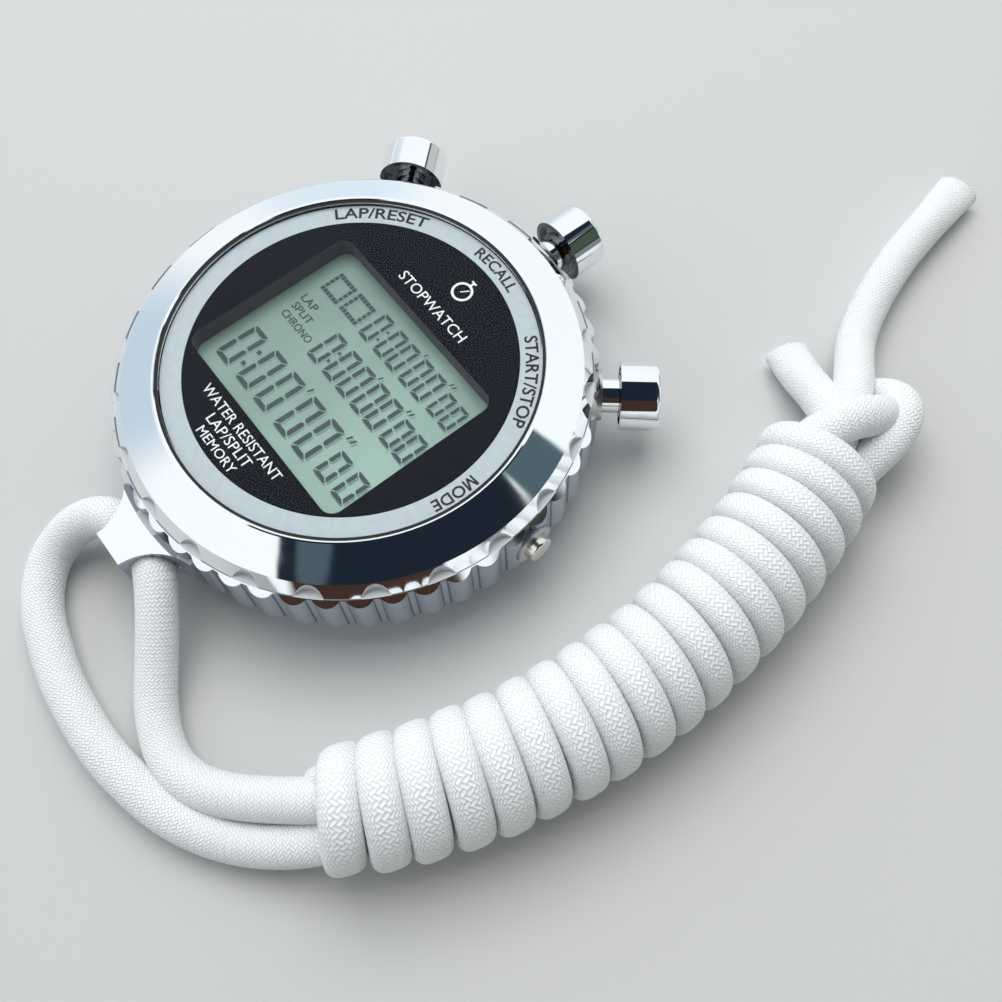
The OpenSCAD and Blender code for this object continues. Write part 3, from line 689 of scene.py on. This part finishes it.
def mask_finish(display):
    """Dark print, a little lighter on the window's upright walls."""
    material, s, p = new_material("Dial_Mask")
    grain = group_node(s, "Grain", Scale=2200.0, Depth=1.0)
    wall = s.math("SUBTRACT", 1.0, s.step(s.facing()[2], 0.3, 0.7))
    tone = s.blend(grain.outputs["Mask"], display.mask, shade(display.mask, 1.15))
    s.put(p.inputs["Base Color"], s.blend(wall, tone, (0.125, 0.12, 0.15)))
    s.put(p.inputs["Roughness"], s.math("ADD", 0.45, s.math("MULTIPLY", grain.outputs["Mask"], 0.08)))
    s.put(p.inputs["Specular IOR Level"], 0.06)
    s.put(p.inputs["Normal"], s.bump(grain.outputs["Height"], 0.02, 0.002 * MM))
    return material


def ink_finish(name, base, roughness=0.45):
    """Slightly patchy printed ink."""
    material, s, p = new_material(name)
    patchy = s.step(s.noise(s.place(), 2500.0, 3.0), 0.3, 0.75)
    s.put(p.inputs["Base Color"], s.blend(patchy, base, shade(base, 1.15, 0.01)))
    s.put(p.inputs["Roughness"], s.math("ADD", roughness, s.math("MULTIPLY", patchy, 0.1)))
    s.put(p.inputs["Normal"], s.bump(patchy, 0.1, 0.004 * MM))
    return material


def floor_finish(stage):
    """Pale paper."""
    material, s, p = new_material("Floor_Paper")
    fibre = s.noise(s.place(), 900.0, 4.0, 0.6)
    s.put(p.inputs["Base Color"], s.blend(fibre, stage.floor, shade(stage.floor, 0.985)))
    s.put(p.inputs["Roughness"], s.math("ADD", 0.8, s.math("MULTIPLY", fibre, 0.1)))
    s.put(p.inputs["Normal"], s.bump(fibre, 0.04, 0.05 * MM))
    return material


def dress(material, *nodes):
    """Gives carried-over CAD parts their finish."""
    for name in nodes:
        obj = NODES[name]
        if not obj.material_slots:
            raise RuntimeError(f"{name} has no material slot")
        for slot in obj.material_slots:
            slot.material = material


# ---- Neck cord ----

# The hank lies along an arc in the floor's plane, in millimetres and degrees. Near its start the
# arc bends inward by up to HANK_BEND. The listed routes are in millimetres too.
HANK_CENTRE = np.array([-45.0, 3.0])
HANK_ARC_R = 99.0
HANK_START = -23.0
HANK_TURN = 45.0
HANK_Z = 8.5
HANK_BEND = 2.8
HANK_BEND_ANGLE = 30.0
LEFT_ROUTE = [
    [0, -35, 8.4], [-2.4, -35, 8.4], [-4.6, -35.6, 8.3], [-7, -37, 7.6], [-8.8, -39.6, 6],
    [-9.4, -42.6, 4.2], [-8.6, -45.7, 3], [-6, -48.4, 2.75], [-2.5, -50.4, 2.75],
    [2, -51.8, 2.75], [7.5, -53, 2.75], [13.3, -53.4, 2.75], [19, -53.3, 2.75],
    [24.3, -52.4, 2.75], [29.5, -51, 2.75], [34.4, -48.6, 2.8], [38.5, -45.6, 3.2],
    [42.2, -41.8, 4.4], [45.2, -37.4, 5.8], [46.7, -34, 6.5],
]
RIGHT_ROUTE = [
    [0, -35, 8.4], [2.4, -35, 8.4], [4.6, -35.5, 8.3], [7.4, -37.2, 7.4], [10.6, -39.6, 5.8],
    [14, -42.4, 4], [17.6, -45, 3], [21.3, -46.6, 2.75], [25, -47.2, 3.1], [28.8, -46.5, 3.9],
    [32.4, -44.4, 4.8], [35.8, -41.4, 6], [39, -38, 7.4], [42, -34.6, 9], [43.6, -32, 9.6],
]
LONG_TAIL = [
    [43.5, 49, 8.2], [41, 53.2, 7.4], [38.2, 56.8, 5.4], [35.4, 60.4, 3.6], [32.8, 64.8, 2.8],
    [30.3, 70.8, 2.75], [28.3, 77.3, 2.75], [26.6, 85.5, 2.75], [25, 93.4, 2.75],
]
SHORT_TAIL = [
    [43.5, 46.6, 8], [40.4, 48.6, 7], [36.6, 50.2, 5], [33, 51.6, 3.6], [29.6, 53, 2.9],
]
KNOT_LOOP = [
    [49.6, 43.8, 5.5], [50.0, 47.6, 7.7], [49.5, 51.8, 8.4], [48.1, 55.2, 8.2], [45.7, 56.8, 6.6],
    [43.2, 56.4, 4.2], [41.4, 53.8, 2.8], [41.2, 50.0, 2.75], [42.2, 46.4, 3.4], [43.4, 43.0, 5.0],
    [43.6, 40.2, 8.0], [43.9, 40.8, 11.2], [44.6, 43.6, 12.6], [45.4, 46.8, 12.6], [46.3, 50.2, 10.8],
    [46.6, 52.6, 8.4], [46.6, 54.0, 6.8],
]


def hank_spot(degrees, out, up):
    """Place in the hank: along its arc, out from the arc and up from its middle."""
    a = math.radians(degrees)
    bend = max(0, 1 - max(0, degrees - HANK_START) / HANK_BEND_ANGLE)
    r = HANK_ARC_R + out - HANK_BEND * bend * bend
    return [HANK_CENTRE[0] + r * math.cos(a), HANK_CENTRE[1] + r * math.sin(a), HANK_Z + up]


def core(out, up):
    """The stretch of a strand that the turns hide."""
    return [hank_spot(HANK_START + d, out, up) for d in np.arange(6, HANK_TURN - 1, 4.5)]


def flat_in_core(path):
    """How far along each point of a path is inside the hank, from 0 outside to 1 well inside."""
    to_centre = path[:, :2] / MM - HANK_CENTRE
    degrees = np.degrees(np.arctan2(to_centre[:, 1], to_centre[:, 0]))
    near = np.abs(np.linalg.norm(to_centre, axis=1) - HANK_ARC_R) < 6
    inside = np.minimum(degrees - HANK_START - 0.5, HANK_START + HANK_TURN - 1 - degrees) / 3
    return np.clip(inside, 0, 1) * near


# A strand's size as shares of its radius: in the lug's eye, pressed between the turns, at its cut end
EYE_SIZE = 0.84
EYE_LENGTH = 5 * MM
CORE_NARROW = 0.55
CORE_THIN = 0.12
END_SPREAD = 0.16
END_FLAT = 0.28
END_LENGTH = 9 * MM


def strand(name, route, tail, out, material, cord):
    """One strand from the lug, through the hank, to its own cut end."""
    path = smooth_route(route + core(out, 0.6 * np.sign(out)) + tail, cord.ring_gap / MM) * MM
    path = relax(path, 6)
    pressed = relax(flat_in_core(path)[:, None], 12)[:, 0]
    past_eye = np.clip(np.linalg.norm(path - path[0], axis=1) / EYE_LENGTH, 0, 1)
    radius = cord.diameter / 2 * (EYE_SIZE + (1 - EYE_SIZE) * past_eye)
    to_end = np.linalg.norm(path - path[-1], axis=1)
    flat = np.clip(1 - to_end / END_LENGTH, 0, 1)
    wide = radius * (1 - CORE_NARROW * pressed) * (1 + END_SPREAD * flat)
    high = radius * (1 - CORE_THIN * pressed) * (1 - END_FLAT * flat)
    path[:, 2] -= END_FLAT * flat * radius
    ups = np.tile([0.0, 0.0, 1.0], (len(path), 1))
    mesh = sweep(name, path, ups, wide, high, np.ones(len(path)), cord.sides, material)
    return link(name, mesh, material), path


# The winding starts at FIRST_TURN, TUCK_IN millimetres along the hank and at half its radius, and
# is out of this tuck TUCK_TURNS later. Turns sway along the hank and swell, in millimetres.
FIRST_TURN = -0.45
TUCK_TURNS = 0.4
TUCK_IN = 6.0
STEPS_PER_TURN = 36
START_ANGLE = math.radians(-75)
TURN_SWAY = 0.22
TURN_SWELL = 0.12
TURN_CORNER = 1.55


def turn_place(turn):
    """Distance in millimetres along the hank after a number of turns: the first turns are wider."""
    return 4.1 * turn + 7.1 * (1 - math.exp(-turn / 8)) - 0.6


def winding(cord):
    """Path of the winding and, for each point, its up direction and half width."""
    rng = random.Random(SEED)
    radius = cord.turn_radius / MM
    drift = [rng.uniform(-1, 1) for _ in range(int(cord.turns) + 4)]
    lift = [rng.uniform(-1, 1) for _ in range(int(cord.turns) + 4)]
    points, ups, widths = [], [], []
    for k in range(int((cord.turns - FIRST_TURN) * STEPS_PER_TURN) + 1):
        turn = FIRST_TURN + k / STEPS_PER_TURN
        i, part = int(turn + 1), (turn + 1) % 1
        ease = part * part * (3 - 2 * part)
        sway = drift[i] * (1 - ease) + drift[i + 1] * ease
        swell = lift[i] * (1 - ease) + lift[i + 1] * ease
        out = min(1, max(0, (turn - FIRST_TURN) / TUCK_TURNS))
        r = radius * (0.5 + 0.5 * out) - math.exp(-max(0, turn) / 1.2) + TURN_SWELL * swell
        psi = 2 * math.pi * turn + START_ANGLE
        place = turn_place(turn) + TURN_SWAY * sway + TUCK_IN * (1 - out) ** 2
        degrees = HANK_START + math.degrees(place / HANK_ARC_R)
        a = math.radians(degrees)
        outward = [math.cos(a) * math.cos(psi), math.sin(a) * math.cos(psi), math.sin(psi)]
        points.append(hank_spot(degrees, r * math.cos(psi), r * math.sin(psi)))
        ups.append(outward)
        widths.append((turn_place(turn + 0.5) - turn_place(turn - 0.5)) / 2 * 1.03)
    return points, ups, widths


def wound_cord(name, material, cord):
    """The winding and the knot's loop, as one length of cord."""
    points, ups, widths = winding(cord)
    tail = smooth_route([points[-1]] + KNOT_LOOP, cord.ring_gap / MM)[1:]
    source = np.vstack([points, tail])
    path = even(source, cord.ring_gap / MM)
    # Columns: up direction, half width, half thickness and corner of the section
    thick, round_half = cord.turn_height / 2 / MM, cord.diameter / 2 / MM
    turns = [[*up, wide, thick, TURN_CORNER] for up, wide in zip(ups, widths)]
    loop = [[0.25, 0.0, 1.0, round_half, round_half, 1.0]] * len(tail)
    columns = np.array(turns + loop)
    along = np.concatenate([[0], np.cumsum(np.linalg.norm(np.diff(source, axis=0), axis=1))])
    at = np.linspace(0, along[-1], len(path))
    columns = relax(np.stack([np.interp(at, along, column) for column in columns.T], axis=1), 8)
    path = relax(path, 3) * MM
    ups, wide, high, corner = unit(columns[:, :3]), columns[:, 3] * MM, columns[:, 4] * MM, columns[:, 5]
    mesh = sweep(name, path, ups, wide, high, corner, cord.sides, material)
    return link(name, mesh, material), path


class STOPWATCH_OT_cord(bpy.types.Operator):
    """Lays the two strands from the lug, the winding round them and the knot."""

    bl_idname = "stopwatch.cord"
    bl_label = "Neck Cord"

    def execute(self, context):
        cord = context.scene.stopwatch_cord
        material = braid_finish(cord)
        left, left_path = strand("cord_strand_left", LEFT_ROUTE, LONG_TAIL, 1.4, material, cord)
        right, right_path = strand("cord_strand_right", RIGHT_ROUTE, SHORT_TAIL, -1.4, material, cord)
        wound, wound_path = wound_cord("cord_winding", material, cord)
        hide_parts("cord_left", "cord_tail_long")
        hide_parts("cord_right", "cord_tail_short")
        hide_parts("cord_hank", "cord_knot")
        return {"FINISHED"}


# ---- Case, buttons and works ----


class STOPWATCH_OT_case(bpy.types.Operator):
    """Plates the case, the bezel and the case back."""

    bl_idname = "stopwatch.case"
    bl_label = "Case"

    def execute(self, context):
        metal = context.scene.stopwatch_metal
        dress(rim_finish(metal), "case_body")
        dress(bezel_finish(metal), "bezel")
        dress(turned("Back_Steel", metal.steel, 0.26), "case_back")
        dress(turned("Screw_Steel", metal.steel, 0.3, 9000.0), "back_screws", "module_screws")
        dress(moulded("Gasket_Rubber", (0.012, 0.013, 0.016), 0.55), "back_gasket", "lens_gasket")
        return {"FINISHED"}


class STOPWATCH_OT_buttons(bpy.types.Operator):
    """Plates the push buttons, their bushes, springs, clips and seals."""

    bl_idname = "stopwatch.buttons"
    bl_label = "Buttons"

    def execute(self, context):
        metal = context.scene.stopwatch_metal
        caps = chrome("Button_Chrome", metal.chrome, metal.mirror, 0.04)
        bush = turned("Bush_Steel", metal.steel, 0.22, 7000.0)
        wire = turned("Spring_Wire", metal.steel, 0.25, 12000.0)
        rubber = moulded("Seal_Rubber", (0.015, 0.015, 0.016), 0.5)
        strip = turned("Contact_Brass", metal.brass, 0.25, 8000.0)
        for b in BUTTONS:
            dress(caps, "pusher_" + b)
            dress(bush, "bush_" + b)
            dress(wire, "spring_" + b, "clip_" + b)
            dress(rubber, "seal_" + b)
            dress(strip, "leaf_" + b)
        dress(chrome("Mode_Nickel", metal.nickel, 0.09, 0.08), "pusher_mode")
        dress(strip, "battery_clip_plus", "battery_leaf_minus")
        dress(wire, "piezo_spring")
        return {"FINISHED"}


class STOPWATCH_OT_works(bpy.types.Operator):
    """Finishes the module inside the case."""

    bl_idname = "stopwatch.works"
    bl_label = "Works"

    def execute(self, context):
        metal = context.scene.stopwatch_metal
        dress(moulded("Frame_Plastic", (0.03, 0.032, 0.035), 0.5), "module_frame")
        dress(moulded("Contact_Strip", (0.42, 0.16, 0.2), 0.55), "zebra_strip_upper", "zebra_strip_lower")
        dress(moulded("Board_Mask", (0.02, 0.16, 0.07), 0.35, 900.0, coat=0.3), "circuit_board")
        dress(moulded("Chip_Resin", (0.012, 0.012, 0.013), 0.3, 700.0, coat=0.2), "chip_blob")
        dress(turned("Crystal_Can", metal.steel, 0.25, 6000.0), "quartz_crystal")
        dress(turned("Cell_Steel", metal.steel, 0.2, 6000.0), "battery")
        dress(turned("Reflector_Foil", metal.steel, 0.4, 3000.0), "lcd_reflector")
        dress(turned("Piezo_Brass", metal.brass, 0.3, 6000.0), "piezo_disc")
        return {"FINISHED"}


# ---- Display ----


DIGIT_LEAN = 0.03
DOT_STEP = (0.62, 0.77)
DOT_SIZE = (0.50, 0.62)


def digit(cx, cy, w, h, t):
    """Outlines of a nought on a seven-segment display: six mitred bars of thickness t."""
    gap, cut = 0.16 * t, 0.45 * t
    x, y = w / 2, h / 2
    low, inner = y - cut + gap, x - t - gap
    top = [(cut - x, y), (x - cut, y), (x - gap, low), (inner, y - t), (-inner, y - t), (gap - x, low)]
    left = [
        (-x, y - cut - gap), (t - x, y - t - 1.6 * gap), (t - x, 0.55 * t), (0.5 * t - x, gap),
        (-x, 0.35 * t),
    ]
    bars = [top, [(px, -py) for px, py in reversed(top)]]
    for sx in (1, -1):
        for sy in (1, -1):
            bar = [(sx * px, sy * py) for px, py in left]
            bars.append(bar if sx * sy < 0 else bar[::-1])
    return [[(cx + px + DIGIT_LEAN * py, cy + py) for px, py in bar] for bar in bars]


def box_outline(cx, cy, w, h, lean=0.0):
    """Outline of an upright or leaning bar."""
    corners = ((-w / 2, -h / 2), (w / 2, -h / 2), (w / 2, h / 2), (-w / 2, h / 2))
    return [(cx + px + lean * py, cy + py) for px, py in corners]


def dot_nought(cx, cy):
    """Outlines of a nought made of small square dots, six across and five down."""
    dots = []
    for i in range(6):
        for j in range(5):
            if i in (0, 5) or j in (0, 4):
                x, y = cx + (i - 2.5) * DOT_STEP[0], cy + (j - 2) * DOT_STEP[1]
                dots.append(box_outline(x, y, *DOT_SIZE))
    return dots


# Each row: centre height, digit (width, height, bar), big digit places, small digit size and places,
# colon place, minute tick and second tick places. In millimetres from the dial's centre.
DISPLAY_ROWS = [
    dict(
        y=6.36, big=(2.05, 4.75, 0.50), at=(-3.8, -0.5, 2.15, 5.2, 7.95), small=(1.9, 3.95, 0.45),
        small_at=(11.1, 13.65), small_y=6.1, colon=-2.16, colon_h=1.66, dot=0.36,
        ticks=(3.9, 9.6, 10.2), tick_y=8.95,
    ),
    dict(
        y=-0.6, big=(2.3, 5.25, 0.56), at=(-5.34, -1.84, 1.22, 4.47, 7.42), small=(2.25, 4.5, 0.51),
        small_at=(10.85, 13.65), small_y=-0.85, colon=-3.6, colon_h=1.8, dot=0.42,
        ticks=(2.95, 9.25, 9.9), tick_y=2.25,
    ),
    dict(
        y=-9.25, big=(2.9, 6.6, 0.67), at=(-12.95, -8.1, -3.86, 0.93, 5.08), small=(2.55, 4.65, 0.57),
        small_at=(9.6, 13.4), small_y=-9.95, colon=-10.5, colon_h=2.5, dot=0.6,
        ticks=(-1.4, 7.55, 8.35), tick_y=-5.95,
    ),
]


def segment_outlines():
    """Outlines of everything on the panel that the display drives."""
    shapes = dot_nought(-12.13, 5.97) + dot_nought(-7.8, 6.08)
    for row in DISPLAY_ROWS:
        for cx in row["at"]:
            shapes += digit(cx, row["y"], *row["big"])
        for cx in row["small_at"]:
            shapes += digit(cx, row["small_y"], *row["small"])
        for side in (-0.5, 0.5):
            height = row["y"] - 0.1 + side * row["colon_h"]
            shapes.append(box_outline(row["colon"], height, row["dot"], row["dot"]))
        tall = 0.13 * row["big"][1]
        shapes += [box_outline(x, row["tick_y"], 0.3 * tall, tall, 0.35) for x in row["ticks"]]
    return [[(x * MM, y * MM) for x, y in shape] for shape in shapes]


def at(cx, cy):
    """Puts a word straight on the dial, with its middle at a place in millimetres."""
    return lambda x, y: (cx * MM + x, cy * MM + y)


def round_ring(degrees, radius):
    """Bends a word round the dial, with its tops outward."""

    def place(x, y):
        a = math.radians(degrees) + x / (radius * MM)
        return (radius * MM + y) * math.sin(a), (radius * MM + y) * math.cos(a)
    return place


# How far the reflector shows a segment's shadow to its side
SHADOW_X = 0.42 * MM
SHADOW_Y = -0.16 * MM


class STOPWATCH_OT_display(bpy.types.Operator):
    """Makes the panel, its driven segments and their shadows, the dark dial and the crystal."""

    bl_idname = "stopwatch.display"
    bl_label = "Display"

    def execute(self, context):
        display = context.scene.stopwatch_display
        ink = display.ink_t
        dress(panel_finish(display), "lcd_panel")
        dress(mask_finish(display), "dial_mask")
        dress(moulded("Ring_Silver", display.silver, 0.42, 3000.0, 0.006 * MM), "dial_ring")
        segments = segment_outlines()
        shadows = [[(x + SHADOW_X, y + SHADOW_Y) for x, y in shape] for shape in segments]
        dark = ink_finish("Lcd_Segment", display.segment, 0.4)
        soft = ink_finish("Lcd_Shadow", display.shadow, 0.5)
        link("lcd_shadows", plates("lcd_shadows", shadows, LCD_Z, LCD_Z + ink), soft)
        low, high = LCD_Z + 2 * ink, LCD_Z + 4 * ink
        link("lcd_segments", plates("lcd_segments", segments, low, high), dark)
        words = [
            ("LAP", 3.0 * MM, 1.15 * MM, at(-12.75, 1.62)),
            ("SPLIT", 4.0 * MM, 1.15 * MM, at(-12.0, -0.08)),
            ("CHRONO", 6.3 * MM, 1.15 * MM, at(-10.8, -1.85)),
        ]
        link("lcd_words", lettering("lcd_words", words, low, high, 0.004), dark)
        lens = disc("crystal", LENS_R, PRINT_Z + 0.06 * MM, LENS_TOP, 0.12 * MM)
        crystal = link("crystal", lens, crystal_finish())
        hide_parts("lens")
        return {"FINISHED"}


# Right half of a bold capital M, in shares of its width and height, and the whole letter. The
# built-in type's own M fills up when its strokes are made bolder.
HALF_M = [(0.065, -0.5), (0.33, 0.18), (0.33, -0.5), (0.5, -0.5), (0.5, 0.5), (0.27, 0.5), (0.0, -0.18)]
LETTER_M = HALF_M + [(-x, y) for x, y in HALF_M[-2::-1]]


class STOPWATCH_OT_legends(bpy.types.Operator):
    """Prints the button names on the silver ring and the plain words on the dial."""

    bl_idname = "stopwatch.legends"
    bl_label = "Legends"

    def execute(self, context):
        display = context.scene.stopwatch_display
        low, high = PRINT_Z, PRINT_Z + 2 * display.ink_t
        black = ink_finish("Legend_Ink", display.ink)
        white = ink_finish("Dial_Ink", display.white)
        radius, tall = 23.55, 1.62 * MM
        ring = [
            ("LAP/RESET", 13.1 * MM, tall * 1.08, round_ring(-44.3, radius)),
            ("RECALL", 8.1 * MM, tall, round_ring(1.8, radius)),
            ("START/STOP", 13.6 * MM, tall * 1.08, round_ring(46.2, radius)),
            ("ODE", 4.58 * MM, tall, round_ring(94.1, radius)),
        ]
        link("ring_legends", lettering("ring_legends", ring, low, high, 0.016), black)
        bend = round_ring(86.1, radius)
        letter = [bend(x * 1.56 * MM, y * tall) for x, y in LETTER_M]
        link("ring_letter_m", plates("ring_letter_m", [letter], low, high), black)
        dial = [
            ("STOPWATCH", 13.5 * MM, 1.55 * MM, at(-0.1, 13.28)),
            ("WATER RESISTANT", 17.0 * MM, 1.42 * MM, at(-0.3, -16.62)),
            ("LAP/SPLIT", 9.1 * MM, 1.45 * MM, at(-0.2, -18.55)),
            ("MEMORY", 7.9 * MM, 1.3 * MM, at(-0.15, -20.5)),
        ]
        link("dial_words", lettering("dial_words", dial, low, high, 0.001), white)
        emblem = plates("dial_emblem", emblem_outlines(0.6 * MM, 17.7 * MM), low, high)
        link("dial_emblem", emblem, white)
        return {"FINISHED"}


def emblem_outlines(cx, cy):
    """Small plain picture of a stopwatch: a ring in eight pieces, a stem, a button and a hand."""
    shapes, inner, outer, steps = [], 1.15 * MM, 1.5 * MM, 8
    for i in range(steps):
        angles = [2 * math.pi * (i + k / 4) / steps for k in range(5)]
        arc = [(cx + outer * math.cos(a), cy + outer * math.sin(a)) for a in angles]
        arc += [(cx + inner * math.cos(a), cy + inner * math.sin(a)) for a in reversed(angles)]
        shapes.append(arc)
    shapes.append(box_outline(cx, cy + 1.72 * MM, 0.3 * MM, 0.44 * MM))
    shapes.append(box_outline(cx, cy + 2.07 * MM, 0.9 * MM, 0.26 * MM))
    shapes.append(box_outline(cx + 0.2 * MM, cy + 0.3 * MM, 0.2 * MM, 1.05 * MM, 0.65))
    return shapes


# ---- Stage ----


CAMERA_PLACE = (74.16 * MM, -28.79 * MM, 144.87 * MM)
KEY_PLACE = (-0.16, 0.10, 0.55)
KEY_AIM = (0.02, 0.01, 0)
KEY_SIZE = 0.5
FLOOR_HALF = 2.0
FLOOR_Z = -0.03 * MM
BACKDROP = (0.86, 0.87, 0.88)


def camera_axes(stage):
    """(right, up, back) of the camera."""
    flat = math.cos(stage.elevation)
    back = Vector((math.sin(stage.turn) * flat, -math.cos(stage.turn) * flat, math.sin(stage.elevation)))
    right = (-back).cross(Vector((0, 0, 1))).normalized()
    up = right.cross(-back)
    c, s = math.cos(stage.roll), math.sin(stage.roll)
    return c * right + s * up, c * up - s * right, back


class STOPWATCH_OT_camera(bpy.types.Operator):
    """Places the camera above the five o'clock side of the dial."""

    bl_idname = "stopwatch.camera"
    bl_label = "Camera"

    def execute(self, context):
        stage = context.scene.stopwatch_stage
        data = bpy.data.cameras.new("camera")
        data.sensor_width = 36.0
        data.lens = stage.focal
        data.clip_start = 1 * MM
        camera = bpy.data.objects.new("camera", data)
        context.scene.collection.objects.link(camera)
        right, up, back = camera_axes(stage)
        turn = Matrix((right, up, back)).transposed().to_4x4()
        camera.matrix_world = Matrix.Translation(CAMERA_PLACE) @ turn
        context.scene.camera = camera
        return {"FINISHED"}


# Tinted patches that only reflections and the light see, most of them dark: (azimuth from +X towards
# +Y, tilt from overhead, radius of the full colour, radius of its soft edge, colour), in degrees.
# Later ones lie over earlier ones.
SURROUND = [
    (-158, 70, 8, 30, (0.58, 0.69, 0.78)),
    (154, 85, 5, 15, (0.78, 0.88, 0.96)),
    (80, 74, 15, 18, (0.04, 0.045, 0.04)),
    (80, 76, 12, 15, (0.55, 0.57, 0.54)),
    (24, 82, 16, 22, (0.21, 0.24, 0.23)),
    (46, 46, 8, 10, (0.012, 0.018, 0.016)),
    (33, 57, 18, 20, (0.012, 0.018, 0.016)),
    (33, 57, 15, 17, (0.06, 0.09, 0.065)),
    (-38, 72, 30, 33, (0.055, 0.028, 0.02)),
    (-20, 14, 31.5, 32.5, (0.012, 0.020, 0.032)),
    (57, 38, 7, 8.5, (0.085, 0.13, 0.155)),
    (-72, 29, 4.5, 6, (0.08, 0.115, 0.14)),
    (-6, 22.9, 0.8, 1.3, (0.30, 0.32, 0.31)),
    (-6, 24, 0.8, 1.3, (0.30, 0.32, 0.31)),
    (-6, 25, 0.8, 1.3, (0.30, 0.32, 0.31)),
]


def surround(stage, scene):
    """Pale walls with tinted patches for the chrome to reflect, and a plain backdrop for the camera."""
    world = bpy.data.worlds.new("Studio")
    scene.world = world
    world.use_nodes = True
    world.node_tree.nodes.clear()
    s = Shader(world.node_tree)
    way = s.node("TexCoord").outputs["Generated"]
    height = s.node("SeparateXYZ", {0: way}).outputs[2]
    sky = s.blend(s.step(height, -0.1, 0.9), (0.98, 1.0, 1.02), (1.02, 1.06, 1.08))
    for azimuth, tilt, inner, outer, tint in SURROUND:
        a, t = math.radians(azimuth), math.radians(tilt)
        dot = s.node("VectorMath", operation="DOT_PRODUCT")
        s.put(dot.inputs[0], way)
        s.put(dot.inputs[1], (math.sin(t) * math.cos(a), math.sin(t) * math.sin(a), math.cos(t)))
        share = s.step(dot.outputs["Value"], math.cos(math.radians(outer)), math.cos(math.radians(inner)))
        sky = s.blend(share, sky, tint)
    sky = s.blend(s.node("LightPath").outputs["Is Camera Ray"], sky, BACKDROP)
    background = s.node("Background", {"Color": sky, "Strength": stage.sky})
    s.node("OutputWorld", {"Surface": background.outputs[0]})


class STOPWATCH_OT_stage(bpy.types.Operator):
    """Lays the pale floor and hangs the soft light."""

    bl_idname = "stopwatch.stage"
    bl_label = "Stage"

    def execute(self, context):
        stage = context.scene.stopwatch_stage
        signs = ((-1, -1), (1, -1), (1, 1), (-1, 1))
        corners = [(x * FLOOR_HALF, y * FLOOR_HALF, FLOOR_Z) for x, y in signs]
        floor = bpy.data.objects.new("floor", mesh_of("floor", corners, [(0, 1, 2, 3)]))
        floor.data.materials.append(floor_finish(stage))
        context.scene.collection.objects.link(floor)
        lamp = bpy.data.lights.new("key", "AREA")
        lamp.energy = stage.key
        lamp.size = KEY_SIZE
        key = bpy.data.objects.new("key", lamp)
        key.location = KEY_PLACE
        key.rotation_euler = (Vector(KEY_AIM) - key.location).to_track_quat("-Z", "Y").to_euler()
        key.visible_glossy = False
        key.visible_transmission = False
        context.scene.collection.objects.link(key)
        surround(stage, context.scene)
        context.scene.view_settings.view_transform = "Standard"
        return {"FINISHED"}


# ---- Panel and run ----


class STOPWATCH_PT_panel(bpy.types.Panel):
    """Lists the stopwatch's pieces and their settings."""

    bl_idname = "STOPWATCH_PT_panel"
    bl_label = "Stopwatch"
    bl_space_type = "VIEW_3D"
    bl_region_type = "UI"
    bl_category = "Stopwatch"

    def draw(self, context):
        for attribute, group in SETTINGS.items():
            box = self.layout.box()
            box.label(text=attribute.replace("stopwatch_", "").title())
            for name in group.__annotations__:
                box.prop(getattr(context.scene, attribute), name)
        for operator in OPERATORS:
            self.layout.operator(operator.bl_idname)


SETTINGS = {
    "stopwatch_cord": StopwatchCord,
    "stopwatch_metal": StopwatchMetal,
    "stopwatch_display": StopwatchDisplay,
    "stopwatch_stage": StopwatchStage,
}
OPERATORS = (
    STOPWATCH_OT_camera,
    STOPWATCH_OT_cord,
    STOPWATCH_OT_case,
    STOPWATCH_OT_buttons,
    STOPWATCH_OT_works,
    STOPWATCH_OT_display,
    STOPWATCH_OT_legends,
    STOPWATCH_OT_stage,
)


def register():
    for cls in (*SETTINGS.values(), *OPERATORS, STOPWATCH_PT_panel):
        bpy.utils.register_class(cls)
    for attribute, group in SETTINGS.items():
        setattr(bpy.types.Scene, attribute, PointerProperty(type=group))


def unregister():
    for attribute in SETTINGS:
        delattr(bpy.types.Scene, attribute)
    for cls in reversed((*SETTINGS.values(), *OPERATORS, STOPWATCH_PT_panel)):
        bpy.utils.unregister_class(cls)


def main():
    register()
    for build in (handling_group, grain_group, brushed_group, scallop_group, braid_group):
        build()
    for operator in OPERATORS:
        group, name = operator.bl_idname.split(".")
        getattr(getattr(bpy.ops, group), name)()


if __name__ == "__main__":
    main()
